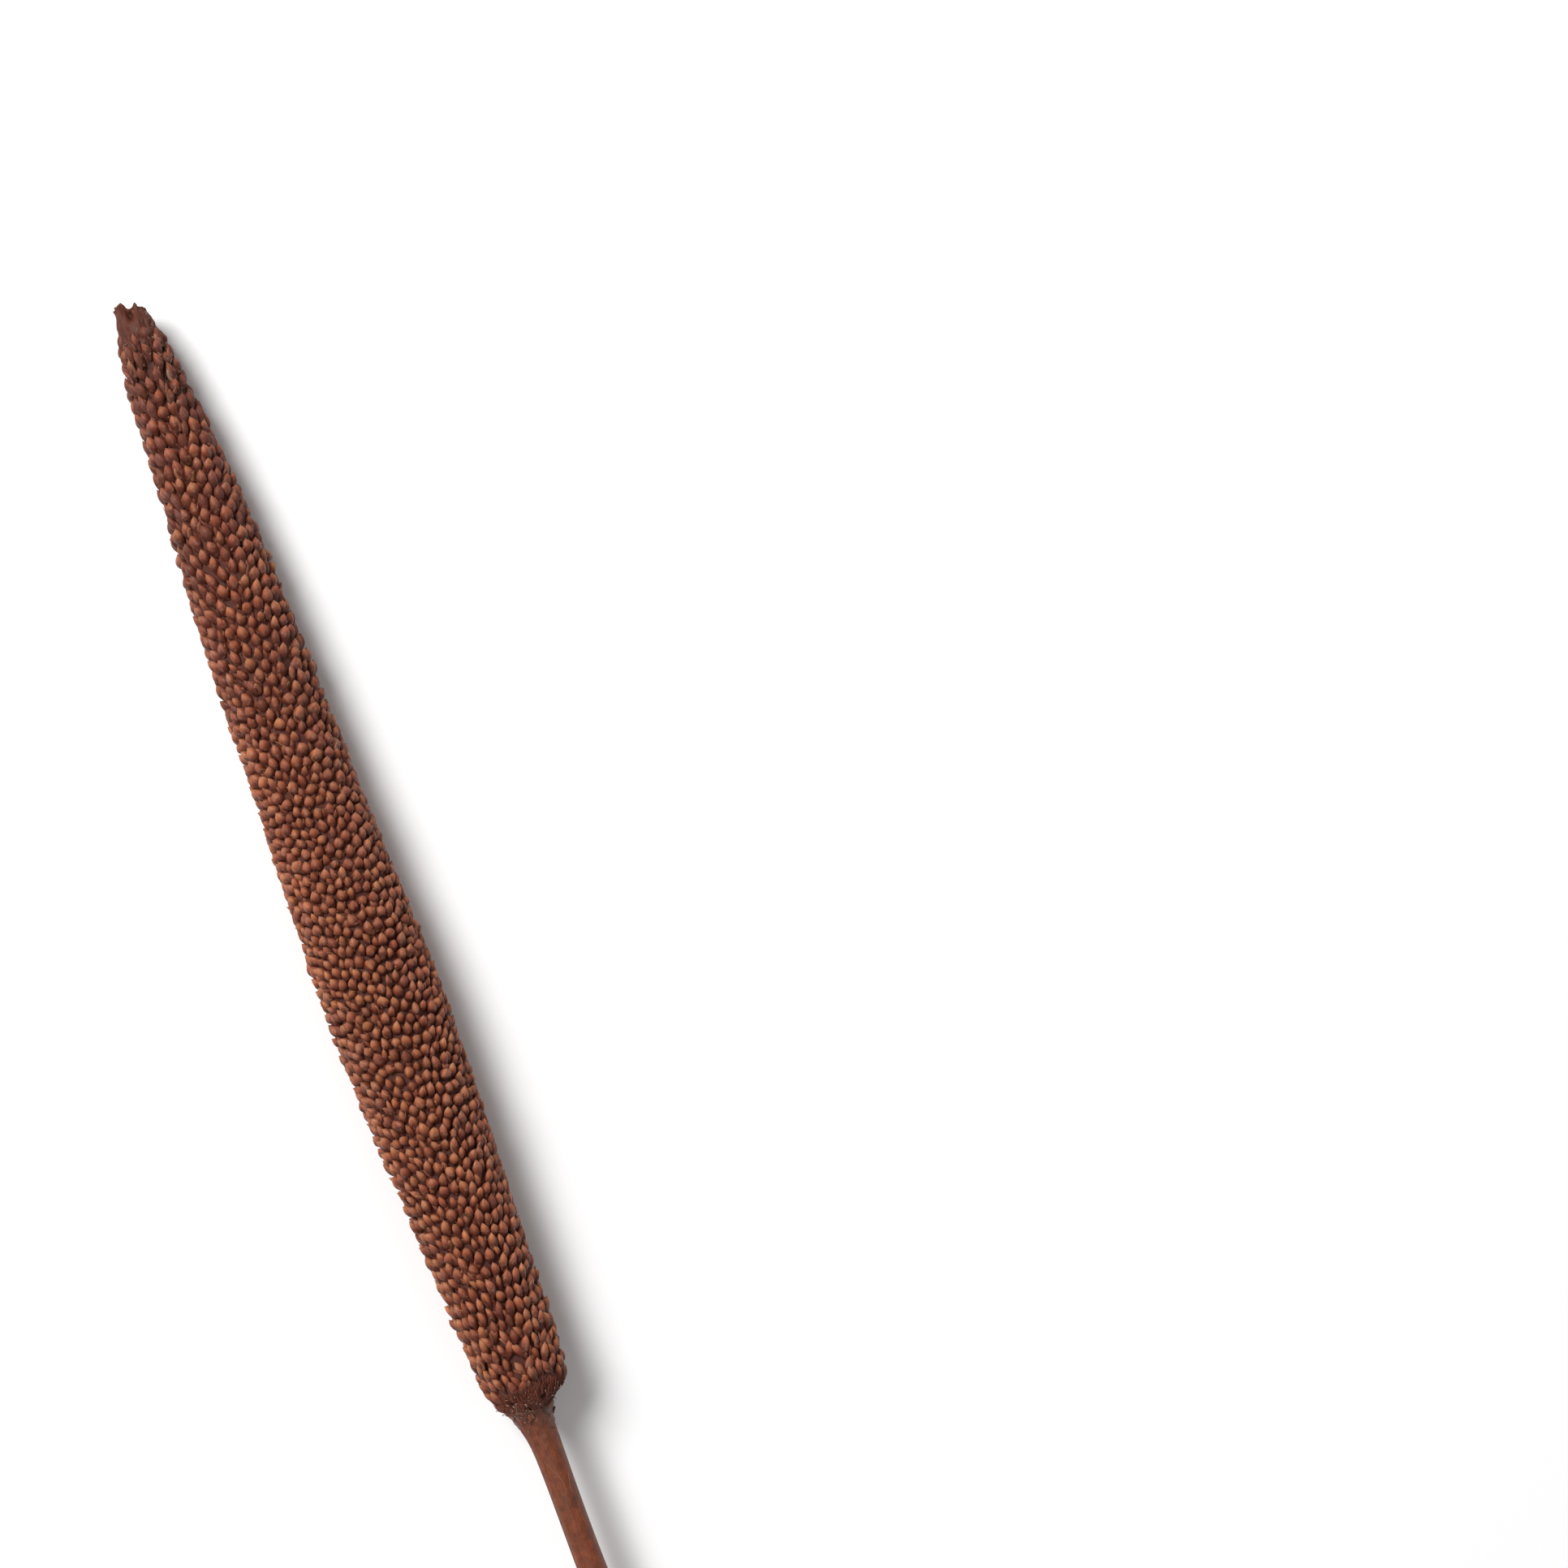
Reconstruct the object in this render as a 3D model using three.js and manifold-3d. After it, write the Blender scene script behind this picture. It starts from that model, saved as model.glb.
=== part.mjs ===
// A dried pearl millet head on its cut stalk, lying on its side.
// Millimetres, +Z up. The head points along +X and the cut end of the stalk is at -X.
// The origin is on the surface it lies on, under the middle of its box.

import * as THREE from "three";
import { mergeVertices } from "three/addons/utils/BufferGeometryUtils.js";
import Module from "manifold-3d";

// Driving dimensions
const HEAD_LENGTH = 230;
const HEAD_RADIUS = 11.9; // over the grain tips, at the thickest place
const STALK_LENGTH = 112; // from the head's base to the cut
const STALK_RADIUS = 2.75;

// Outline of the head over its grain tips: share of the length from the base, share of the radius.
const HEAD_OUTLINE = [
  [0, 0.45],
  [0.01, 0.6],
  [0.035, 0.73],
  [0.1, 0.8],
  [0.2, 0.89],
  [0.3, 0.97],
  [0.38, 1],
  [0.46, 0.95],
  [0.55, 0.88],
  [0.65, 0.84],
  [0.75, 0.76],
  [0.83, 0.66],
  [0.91, 0.55],
  [0.96, 0.42],
  [1, 0.24],
];

// How it lies: the head rests along the lower side of its taper, and the stalk droops to the surface.
const BELLY_AT = 87; // thickest place, from the base
const TAPER_SLOPE = 0.025; // the axis falls this much per millimetre towards the tip
const PRESSED = 0.6; // depth to which the lowest grains are flattened
const SIDE_BOW = 0.7; // sideways bow of the head
const STALK_LEAN = 0.03; // sideways slope of the stalk where it leaves the head
const STALK_BEND = 0.0005; // sideways curve of the stalk

// Grains, larger than life so that each one keeps its round back and its point at this number of faces
const GRAIN_WIDTH = 3.65;
const END_GRAIN_GROWTH = 0.2; // grains are this much wider at the base and at the tip
const ROW_STEP = 0.92; // distance from row to row, in grain widths
const GRAIN_HEIGHT = 0.42; // from valley to back, in grain widths
const JITTER = 0.09;
// The back of a grain has three corners: step towards the head's tip, step round it, share of the height.
const GRAIN_BACK = [
  [0.44, 0, 0.66],
  [-0.12, -0.23, 1],
  [-0.12, 0.23, 1],
];

// The stalk's end is sunk in a tapered socket in the head's base.
const NECK_SWELL = 1.9; // extra radius of the stalk where it enters the head
const NECK_FADE = 5; // distance over which that swelling fades
const SOCKET_DEPTH = 12;
const SOCKET_TAPER = 0.07;
const CLEARANCE = 0.3;
const SOCKET_SIDES = 24;
const MOUTH_AT = 0.5; // the socket opens this far inside the head
const STALK_SIDES = 16;
const STALK_STEP = 4;
const CUT_BULGE = 0.12; // the stalk is this much thicker at the cut than above it

// A small repeatable random source
let seed = 7;
function random() {
  seed = (seed * 16807) % 2147483647;
  return seed / 2147483647;
}

function jitter(size) {
  return (random() * 2 - 1) * size;
}

// Smooth interpolation through the outline points
const outlineCurve = new THREE.SplineCurve(
  HEAD_OUTLINE.map(([along, out]) => new THREE.Vector2(along * HEAD_LENGTH, out * HEAD_RADIUS)),
);
const outlinePoints = outlineCurve.getSpacedPoints(600);

function headRadius(s) {
  const next = outlinePoints.findIndex((p) => p.x >= s);
  if (next <= 0) return outlinePoints[next === 0 ? 0 : outlinePoints.length - 1].y;
  const a = outlinePoints[next - 1];
  const b = outlinePoints[next];
  return THREE.MathUtils.lerp(a.y, b.y, (s - a.x) / (b.x - a.x));
}

function headSlope(s) {
  return headRadius(s + 0.5) - headRadius(s - 0.5);
}

// The head's axis. s runs from its base to its tip.
function headAxis(s) {
  const height = HEAD_RADIUS - PRESSED - (s - BELLY_AT) * TAPER_SLOPE;
  const side = (4 * SIDE_BOW * s * (HEAD_LENGTH - s)) / HEAD_LENGTH ** 2;
  return new THREE.Vector3(s, side, height);
}

// A point at angle turn round the head and at distance out from its axis
function headPoint(s, turn, out) {
  const point = headAxis(s);
  point.y += out * Math.cos(turn);
  point.z += out * Math.sin(turn);
  return point;
}

function stalkRadius(down) {
  const neck = NECK_SWELL * Math.exp(-down / NECK_FADE);
  return STALK_RADIUS * (1 + (CUT_BULGE * down) / STALK_LENGTH) + neck;
}

// The stalk's axis. down runs from the head's base to the cut, where the stalk touches the surface.
function stalkAxis(down) {
  const start = headAxis(0);
  const fall = start.z + TAPER_SLOPE * STALK_LENGTH - stalkRadius(STALK_LENGTH) - 0.1;
  const side = STALK_LEAN * down - STALK_BEND * down ** 2;
  const height = start.z + TAPER_SLOPE * down - fall * (down / STALK_LENGTH) ** 2;
  return new THREE.Vector3(-down, side, height);
}

// Rows of grains: each row has its place on the axis, its radius and its number of grains.
function grainWidth(s) {
  const fromMiddle = Math.abs((2 * s) / HEAD_LENGTH - 0.8);
  return GRAIN_WIDTH * (1 + END_GRAIN_GROWTH * Math.min(1, fromMiddle) ** 2);
}

function grainRows() {
  const rows = [];
  let s = 1.6;
  while (s < HEAD_LENGTH - 1.4) {
    const radius = headRadius(s);
    const count = Math.max(5, Math.round((2 * Math.PI * radius) / grainWidth(s)));
    rows.push({ s, radius, count });
    s += (grainWidth(s) * ROW_STEP) / Math.hypot(1, headSlope(s));
  }
  return rows;
}

// Joins two rings with triangles, stepping along whichever ring is behind the other.
function stitch(lower, upper, triangles) {
  let i = 0;
  let j = 0;
  while (i < lower.length || j < upper.length) {
    const a = lower[i % lower.length];
    const b = upper[j % upper.length];
    const nextLower = lower[(i + 1) % lower.length].turn + (i + 1 >= lower.length ? 2 * Math.PI : 0);
    const nextUpper = upper[(j + 1) % upper.length].turn + (j + 1 >= upper.length ? 2 * Math.PI : 0);
    const stepLower = j >= upper.length || (i < lower.length && nextLower <= nextUpper);
    if (stepLower) {
      triangles.push([a, lower[(i + 1) % lower.length], b]);
      i += 1;
    } else {
      triangles.push([a, upper[(j + 1) % upper.length], b]);
      j += 1;
    }
  }
}

// The grains of one row, turned half a grain against the row before it
function ringOfGrains(row, index) {
  const half = index % 2 ? 0.5 : 0;
  const width = grainWidth(row.s);
  return Array.from({ length: row.count }, (_, k) => {
    const turn = ((k + half + jitter(JITTER)) / row.count) * 2 * Math.PI;
    const s = row.s + jitter(JITTER) * width * 0.6;
    const lift = jitter(JITTER) * width * 0.5;
    const back = GRAIN_BACK.map(([ahead, round, height]) => {
      const at = s + ahead * width;
      const floor = headRadius(Math.min(at, HEAD_LENGTH)) - GRAIN_HEIGHT * width;
      const out = Math.max(0.5, floor + (height * GRAIN_HEIGHT * width + lift));
      const turned = turn + (round * width) / Math.max(row.radius, width / 2);
      return { turn: aroundGrain(ahead, round), tip: headPoint(at, turned, out) };
    });
    return { turn, s, out: row.radius, back, rim: [] };
  });
}

// Direction from a grain's middle, from 0 to a full turn, starting towards the head's tip
function aroundGrain(ahead, round) {
  return (Math.atan2(-round, ahead) + 2 * Math.PI) % (2 * Math.PI);
}

// A valley vertex in the middle of three neighbouring grains
function valleyOf(corners) {
  const s = corners.reduce((sum, c) => sum + c.s, 0) / 3;
  let x = 0;
  let y = 0;
  for (const c of corners.filter((corner) => corner.turn !== undefined)) {
    x += Math.cos(c.turn);
    y += Math.sin(c.turn);
  }
  const turn = Math.atan2(y, x);
  const out = Math.max(0.8, headRadius(s) - GRAIN_HEIGHT * grainWidth(s));
  return { s, turn, tip: headPoint(s, turn, out) };
}

function addTriangle(list, a, b, c) {
  for (const p of [a, b, c]) list.push(p.x, p.y, p.z);
}

// Turns the triangles between neighbouring grains into separate grains standing between valleys:
// every edge from grain to grain gives way to one from valley to valley.
function grainRelief(triangles, list) {
  const open = new Map();
  const ids = new Map();
  const idOf = (corner) => {
    if (!ids.has(corner)) ids.set(corner, ids.size);
    return ids.get(corner);
  };
  const claim = (corner, from, to) => {
    if (corner.back) corner.rim.push(from);
    else addTriangle(list, corner.tip, from.tip, to.tip);
  };
  for (const corners of triangles) {
    const valley = valleyOf(corners);
    for (let k = 0; k < 3; k += 1) {
      const a = corners[k];
      const b = corners[(k + 1) % 3];
      const back = `${idOf(b)}:${idOf(a)}`;
      if (open.has(back)) {
        const other = open.get(back).valley;
        open.delete(back);
        claim(a, other, valley);
        claim(b, valley, other);
      } else {
        open.set(`${idOf(a)}:${idOf(b)}`, { a, b, valley });
      }
    }
  }
  for (const { a, b, valley } of open.values()) addTriangle(list, a.tip, b.tip, valley.tip);
  for (const grain of ids.keys()) if (grain.back) addGrain(grain, list);
}

// One grain: its back, and the flanks from its back down to the valleys round it
function addGrain(grain, list) {
  const rim = grain.rim.map(({ s, turn, tip }) => {
    const apart = THREE.MathUtils.euclideanModulo(turn - grain.turn + Math.PI, 2 * Math.PI) - Math.PI;
    return { turn: aroundGrain(s - grain.s, apart * grain.out), tip };
  });
  const back = [...grain.back];
  rim.sort((a, b) => a.turn - b.turn);
  back.sort((a, b) => a.turn - b.turn);
  const faces = [back];
  stitch(rim, back, faces);
  for (const [a, b, c] of faces) addTriangle(list, a.tip, b.tip, c.tip);
}

function ringOfSocket(s, out) {
  return Array.from({ length: SOCKET_SIDES }, (_, k) => {
    const turn = (k / SOCKET_SIDES) * 2 * Math.PI;
    return { turn, s, tip: headPoint(s, turn, out) };
  });
}

function headGeometry() {
  const mouthRadius = stalkRadius(0) + CLEARANCE;
  const mouth = ringOfSocket(MOUTH_AT, mouthRadius);
  const floor = ringOfSocket(SOCKET_DEPTH, mouthRadius - SOCKET_TAPER * SOCKET_DEPTH);
  const rings = [mouth, ...grainRows().map(ringOfGrains)];
  const triangles = [];
  for (let k = 1; k < rings.length; k += 1) stitch(rings[k - 1], rings[k], triangles);
  const last = rings.at(-1);
  const crown = { s: HEAD_LENGTH, tip: headPoint(HEAD_LENGTH - 0.5, 0, 0) };
  last.forEach((corner, k) => triangles.push([corner, last[(k + 1) % last.length], crown]));
  const list = [];
  grainRelief(triangles, list);
  const socketEnd = headPoint(SOCKET_DEPTH, 0, 0);
  for (let k = 0; k < SOCKET_SIDES; k += 1) {
    const next = (k + 1) % SOCKET_SIDES;
    addTriangle(list, mouth[k].tip, floor[k].tip, mouth[next].tip);
    addTriangle(list, mouth[next].tip, floor[k].tip, floor[next].tip);
    addTriangle(list, floor[k].tip, socketEnd, floor[next].tip);
  }
  return geometryOf(list);
}

function geometryOf(list) {
  const geometry = new THREE.BufferGeometry();
  geometry.setAttribute("position", new THREE.Float32BufferAttribute(list, 3));
  return mergeVertices(geometry, 1e-4);
}

// The stalk: rings square to its axis, from its end in the socket down to the cut
function stalkGeometry() {
  const rings = [];
  const tenon = SOCKET_DEPTH - CLEARANCE;
  for (const s of [tenon, tenon / 2]) {
    const out = stalkRadius(0) - SOCKET_TAPER * s;
    rings.push({ centre: headAxis(s), out });
  }
  const steps = Math.round(STALK_LENGTH / STALK_STEP);
  for (let k = 0; k <= steps; k += 1) {
    const down = (STALK_LENGTH * k) / steps;
    rings.push({ centre: stalkAxis(down), out: stalkRadius(down) });
  }
  const list = [];
  const loops = rings.map(({ centre, out }, k) => {
    const before = rings[Math.max(0, k - 1)].centre;
    const after = rings[Math.min(rings.length - 1, k + 1)].centre;
    const along = after.clone().sub(before).normalize();
    const side = new THREE.Vector3(0, 0, 1).cross(along).normalize();
    const up = along.clone().cross(side);
    return Array.from({ length: STALK_SIDES }, (_, m) => {
      const turn = (m / STALK_SIDES) * 2 * Math.PI;
      const point = centre.clone().addScaledVector(side, out * Math.cos(turn));
      return point.addScaledVector(up, out * Math.sin(turn));
    });
  });
  for (let k = 1; k < loops.length; k += 1) {
    for (let m = 0; m < STALK_SIDES; m += 1) {
      const next = (m + 1) % STALK_SIDES;
      addTriangle(list, loops[k - 1][m], loops[k - 1][next], loops[k][m]);
      addTriangle(list, loops[k - 1][next], loops[k][next], loops[k][m]);
    }
  }
  const first = rings[0].centre;
  const end = rings.at(-1).centre;
  for (let m = 0; m < STALK_SIDES; m += 1) {
    const next = (m + 1) % STALK_SIDES;
    addTriangle(list, first, loops[0][next], loops[0][m]);
    addTriangle(list, end, loops.at(-1)[m], loops.at(-1)[next]);
  }
  return geometryOf(list);
}

// Solid work: everything below the surface is pressed flat.
const wasm = await Module();
wasm.setup();

function solidOf(geometry) {
  const plain = geometry.clone();
  plain.deleteAttribute("normal");
  plain.deleteAttribute("uv");
  const merged = mergeVertices(plain, 1e-4);
  return new wasm.Manifold(
    new wasm.Mesh({
      numProp: 3,
      vertProperties: new Float32Array(merged.attributes.position.array),
      triVerts: new Uint32Array(merged.index.array),
    }),
  );
}

function flattenedUnderside(geometry) {
  const depth = 20;
  const slab = new THREE.BoxGeometry(3 * HEAD_LENGTH, 8 * HEAD_RADIUS, depth);
  slab.translate(0, 0, -depth / 2);
  const made = solidOf(geometry).subtract(solidOf(slab)).getMesh();
  const flat = new THREE.BufferGeometry();
  flat.setAttribute("position", new THREE.BufferAttribute(made.vertProperties, 3));
  flat.setIndex(new THREE.BufferAttribute(made.triVerts, 1));
  return flat;
}

function mesh(name, geometry, colour, roughness) {
  geometry.computeVertexNormals();
  const material = new THREE.MeshStandardMaterial({ color: colour, roughness, metalness: 0 });
  const made = new THREE.Mesh(geometry, material);
  made.name = name;
  return made;
}

const millet = new THREE.Group();
millet.add(mesh("seed_head", flattenedUnderside(headGeometry()), 0x7a4630, 0.6));
millet.add(mesh("stalk", stalkGeometry(), 0x7d4326, 0.7));

// Brings the middle of the box's underside to the origin.
const box = new THREE.Box3().setFromObject(millet, true);
const middle = box.getCenter(new THREE.Vector3());
millet.position.set(-middle.x, -middle.y, -box.min.z);
millet.updateMatrixWorld(true);

export default millet;
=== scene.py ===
"""A dried pearl millet head on its cut stalk, lying on a pale floor.

Metres, +Z up. The head points along +X, and the solids of the frame give its place.
A point of the head is given by s, its distance from the head's base along the axis,
and by turn, its angle round the axis, 0 towards +Y and a quarter turn towards +Z.
"""

import math

import bpy
import numpy as np
from mathutils import Matrix, Vector, kdtree


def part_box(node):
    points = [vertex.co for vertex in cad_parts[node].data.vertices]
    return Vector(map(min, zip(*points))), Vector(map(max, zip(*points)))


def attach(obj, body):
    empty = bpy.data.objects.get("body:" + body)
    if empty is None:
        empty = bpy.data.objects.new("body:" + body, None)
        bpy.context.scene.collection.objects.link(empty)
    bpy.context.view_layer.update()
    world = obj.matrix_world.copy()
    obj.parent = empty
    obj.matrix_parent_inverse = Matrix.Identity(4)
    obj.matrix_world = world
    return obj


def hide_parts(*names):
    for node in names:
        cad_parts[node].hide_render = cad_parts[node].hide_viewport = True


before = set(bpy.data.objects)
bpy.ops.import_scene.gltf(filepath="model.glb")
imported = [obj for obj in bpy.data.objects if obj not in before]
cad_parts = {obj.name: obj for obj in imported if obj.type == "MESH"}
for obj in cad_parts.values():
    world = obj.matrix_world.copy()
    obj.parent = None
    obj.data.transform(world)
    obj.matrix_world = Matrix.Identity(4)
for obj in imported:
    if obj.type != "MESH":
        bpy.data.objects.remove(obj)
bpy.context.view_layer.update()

MM = 0.001
TAU = 2 * math.pi
ALONG = np.array([1.0, 0, 0])
rng = np.random.default_rng(11)

# Form of the head and the stalk, as in the solids
HEAD_LENGTH = 230 * MM
HEAD_RADIUS = 11.9 * MM
STALK_LENGTH = 112 * MM
STALK_RADIUS = 2.75 * MM
HEAD_OUTLINE = [
    (0, 0.45), (0.01, 0.6), (0.035, 0.73), (0.1, 0.8), (0.2, 0.89),
    (0.3, 0.97), (0.38, 1), (0.46, 0.95), (0.55, 0.88), (0.65, 0.84),
    (0.75, 0.76), (0.83, 0.66), (0.91, 0.55), (0.96, 0.42), (1, 0.24),
]
BELLY_AT = 87 * MM
TAPER_SLOPE = 0.025
PRESSED = 0.6 * MM
SIDE_BOW = 0.7 * MM
STALK_LEAN = 0.03
STALK_BEND = 0.5  # sideways curve of the stalk, per metre
NECK_SWELL = 1.9 * MM
NECK_FADE = 5 * MM
CUT_BULGE = 0.12
SURFACE_GAP = 0.1 * MM

# Forms that the solids don't have, first two shifts towards +Y
STALK_SHIFT = 0.2 * MM
TIP_SHIFT = 0.7 * MM
TIP_SHIFT_START = 196 * MM
TIP_SHIFT_REACH = 20 * MM
# The neck's swelling is lopsided here: its height and reach in mm, and how much more on the +Y side
NECK_HEIGHT = (2.1, 1.2)
NECK_REACH = (2.6, 1.4)
# The head's base is hollow on its -Y side and has a lip on its +Y side: depth or height, and reach
BASE_HOLLOW = (1.8 * MM, 1.8 * MM)
BASE_LIP = (0.9 * MM, 1.2 * MM)
BASE_LIP_AT = 1.9 * MM

# Lengths in the tables below are in mm.
# Pieces that the spikelets are split into: name, where it ends as a share of the head's length
STRETCHES = [
    ("grains_base", 0.1),
    ("grains_lower", 0.27),
    ("grains_belly", 0.43),
    ("grains_middle", 0.63),
    ("grains_upper", 0.85),
    ("grains_tip", 1.1),
]
# Spacing of the spikelets: share of the head's length, spacing round it, spacing along it,
# how far they stray from even rows, how steeply the rows slant towards +X on the +Y side
SPACING = [
    (0, 2.15, 3.1, 0.2, 0),
    (0.1, 2.15, 3.15, 0.24, 0),
    (0.14, 2.12, 3.05, 0.26, -0.16),
    (0.25, 2.1, 2.85, 0.32, 0.22),
    (0.4, 1.98, 2.7, 0.36, 0.1),
    (0.5, 2.3, 2.6, 0.36, 0),
    (0.58, 2.65, 2.65, 0.34, -0.1),
    (0.67, 2.95, 2.95, 0.3, -0.35),
    (0.775, 2.8, 3.1, 0.26, -0.5),
    (0.88, 2.7, 3.3, 0.26, 0.15),
    (1, 2.5, 3.4, 0.3, 0),
]
FIRST_ROW = 17.8 * MM
LAST_ROW = HEAD_LENGTH - 6 * MM
# The lowest spikelets stand in pairs: distances of their rows from the base, room for each pair
PAIR_ROWS = [5, 7.4, 10, 12.6, 15.3]
PAIR_ROOM = 3.9
PAIR_WIDTH = 1.75
PAIR_HALF_GAP = 0.54  # as a share of a spikelet's width
PAIR_SPLAY = (0.26, 0.04)  # mean and spread
PAIRS_LEFT = 0.6  # share of the first row's pairs that are there
# Stance of a spikelet: share of the head's length, lean from upright to the head's tip in degrees,
# its length, its width, how pointed it is
STANCE = [
    (0, 78, 5.2, 2.05, 0.15),
    (0.035, 74, 5.1, 2.05, 0.15),
    (0.068, 69, 4.9, 1.85, 0.2),
    (0.12, 65, 4.6, 1.78, 0.3),
    (0.18, 61, 4.4, 1.82, 0.35),
    (0.27, 56, 4.1, 1.85, 0.4),
    (0.4, 50, 3.8, 1.9, 0.5),
    (0.55, 53, 4.0, 2.1, 0.45),
    (0.7, 60, 4.5, 2.2, 0.35),
    (0.84, 66, 4.9, 2.2, 0.3),
    (0.92, 71, 4.8, 2.1, 0.3),
    (0.97, 77, 4.6, 1.95, 0.35),
    (1, 80, 4.4, 1.8, 0.4),
]
# How light the spikelets are: share of the head's length, tone
TONE = [
    (0, 0.4), (0.08, 0.44), (0.2, 0.5), (0.32, 0.47), (0.45, 0.45),
    (0.62, 0.41), (0.7, 0.37), (0.85, 0.24), (0.92, 0.09), (1, 0.03),
]
# How far they stand out: share of the head's length, height over the outline
RAISED = [(0, 0.2), (0.035, 0.2), (0.06, 0), (0.92, 0), (0.96, 0.3), (1, 0.3)]
# Depth of the core under the outline: share of the head's length, depth
CORE_DEPTH = [(0, 0.6), (0.015, 0.75), (0.04, 1.6), (0.2, 1.6), (0.62, 1.5), (0.92, 1.5), (1, 1.6)]
# Section of a spikelet: place along it, share of its half width when round and when pointed
SPIKELET = [
    (0.14, 0.22, 0.24),
    (0.28, 0.48, 0.52),
    (0.42, 0.77, 0.84),
    (0.55, 0.96, 1),
    (0.67, 1, 0.94),
    (0.78, 0.91, 0.74),
    (0.87, 0.73, 0.5),
    (0.94, 0.48, 0.3),
    (0.98, 0.26, 0.16),
    (1.02, 0.11, 0.08),
]
SPIKELET_SIDES = 10
THICKNESS = 0.9  # of a spikelet, as a share of its width
KEEL = 0.05
FACETS = 0.08  # depth of the blunt edges along a spikelet, one at every second corner
UNEVEN = [(2, 0.1), (3, 0.065)]  # waves round a spikelet's section and their size
CORNER_SPREAD = 0.04
# How much the spikelets differ from each other
SIZE_SPREAD = 0.13
SIZE_LIMITS = (0.68, 1.28)
LENGTH_SPREAD = 0.08
WIDTH_SPREAD = 0.05
POINT_SPREAD = 0.15
TONE_SPREAD = 0.16
LEAN_SPREAD = 8  # degrees
SPLAY_SPREAD = 0.12
TWIST_SPREAD = 0.5
SINK_SPREAD = 0.15  # mm
BEND_BACK = (0.08, 0.2)  # mean and spread
BEND_SIDE = (0, 0.22)
# Small spikelets deep in the gaps: the stretch they stand in, how far they stay from the large ones
# and from each other, how many places are tried, their width
GAPS_START = 6 * MM
GAPS_END = 208 * MM
GAP_ROOM = 1.3 * MM
GAP_SPACING = 1.15 * GAP_ROOM
GAP_TRIES = 12000
GAP_WIDTH = 1.45 * MM
# How deep these sit: share of the head's length, depth
GAP_DEPTH = [(0, 1.05), (0.16, 1), (0.22, 0.65), (0.6, 0.65), (0.7, 1.05), (1, 1.05)]
GAP_SIDES = 6
SHADE_DEPTH = 2 * MM  # from the outline down to where the painted shade is darkest
PRESS_SOFTNESS = 0.3 * MM  # how gently the lowest grains are flattened
# The head's tip is a withered sheath with a torn rim. Teeth of the rim: direction in degrees,
# height, half width
TEETH = [
    (69, 1.35, 0.6),
    (45, 0.5, 0.8),
    (28, 0.35, 1.2),
    (122, 1.3, 0.65),
    (155, 0.5, 1.2),
    (214, 0.7, 0.7),
    (262, 0.9, 0.8),
    (304, 0.5, 0.6),
    (340, 0.6, 0.8),
]
TIP_START = 214 * MM
TIP_END = 229.6 * MM
TIP_SLANT = 0.26  # the rim reaches further on the +Y side
SLANT_START = 219 * MM
SLANT_REACH = 11 * MM
TIP_PIT = (228.2, 86, 1.15)
TIP_PIT_DEPTH = 1.5 * MM
TEETH_START = 226.2 * MM
# How far the sheath lies under the outline: distance from the base, depth
TIP_SINK = [(214, 1.7), (221, 1), (226.5, 0.1)]
# Folds of the sheath: height, passes that smooth them along it and round it
TIP_FOLDS = [(0.15, 12, 14), (0.11, 30, 2), (0.05, 20, 0)]
FOLDS_FADE = 224 * MM
# Withered scales on the sheath: how many, where they end, width
TIP_SCALES = [(6, 227.8, 2), (8, 225.2, 2.1)]
# Pits between the scars where the head meets the stalk: distance from the base, direction, size
PITS = [
    (2.4, 60, 1.1),
    (0.6, 84, 0.8),
    (2.2, 118, 0.9),
    (1.6, 165, 1.0),
    (2.6, 205, 0.9),
    (1.4, 250, 1.1),
    (2.2, 292, 0.8),
    (1.2, 335, 1.0),
    (3.0, 20, 0.8),
]
CORE_PIT_DEPTH = 1.6 * MM
NECK_PIT_DEPTH = 0.9 * MM
# Flaps of dry skin on the neck: distance below the base, direction, length, width, tone
FLAPS = [
    (2.0, 72, 3.6, 2.1, 0.75),
    (1.2, 20, 2.8, 1.7, 0.6),
    (1.6, 198, 3.2, 2, 0.5),
    (1.4, 285, 3, 1.6, 0.7),
]
# The stalk's cut face: share of its radius, how far it is sunk in mm
CUT_FACE = [(0.95, -0.12), (0.86, 0.25), (0.62, 0.4), (0.3, 0.3)]
# Fine hairs lying on the stalk: distance below the head's base, offset from the stalk's axis
STALK_HAIRS = [
    [(10, 1.5), (12.2, 0.5), (13.8, -0.4), (16.5, -0.7), (19, -0.2)],
    [(13.8, -2.3), (15.5, -2), (17.6, -1.6)],
    [(46, 0.4), (48.5, 1), (52, 0.9), (55, 1.7)],
]


def table(rows, s):
    """Columns of a table read at the distances s, straight between its rows"""
    rows = np.array(rows, float)
    share = np.asarray(s, float) / HEAD_LENGTH
    return [np.interp(share, rows[:, 0], column) for column in rows[:, 1:].T]


def spline(points, steps=600):
    """Points along the uniform Catmull-Rom curve through an outline."""
    p = np.array([points[0], *points, points[-1]], float)
    at = np.linspace(0, len(points) - 1, steps)
    k = np.minimum(at.astype(int), len(points) - 2)
    w = (at - k)[:, None]
    a, b, c, d = (p[k + i] for i in range(4))
    tangent_b = (c - a) / 2
    tangent_c = (d - b) / 2
    cubic = (2 * b - 2 * c + tangent_b + tangent_c) * w**3
    return cubic + (-3 * b + 3 * c - 2 * tangent_b - tangent_c) * w**2 + tangent_b * w + b


OUTLINE = spline(HEAD_OUTLINE) * (HEAD_LENGTH, HEAD_RADIUS)


def head_radius(s):
    return np.interp(s, OUTLINE[:, 0], OUTLINE[:, 1])


def stalk_radius(down):
    neck = NECK_SWELL * np.exp(-np.maximum(down, 0) / NECK_FADE)
    return STALK_RADIUS * (1 + CUT_BULGE * down / STALK_LENGTH) + neck


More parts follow.
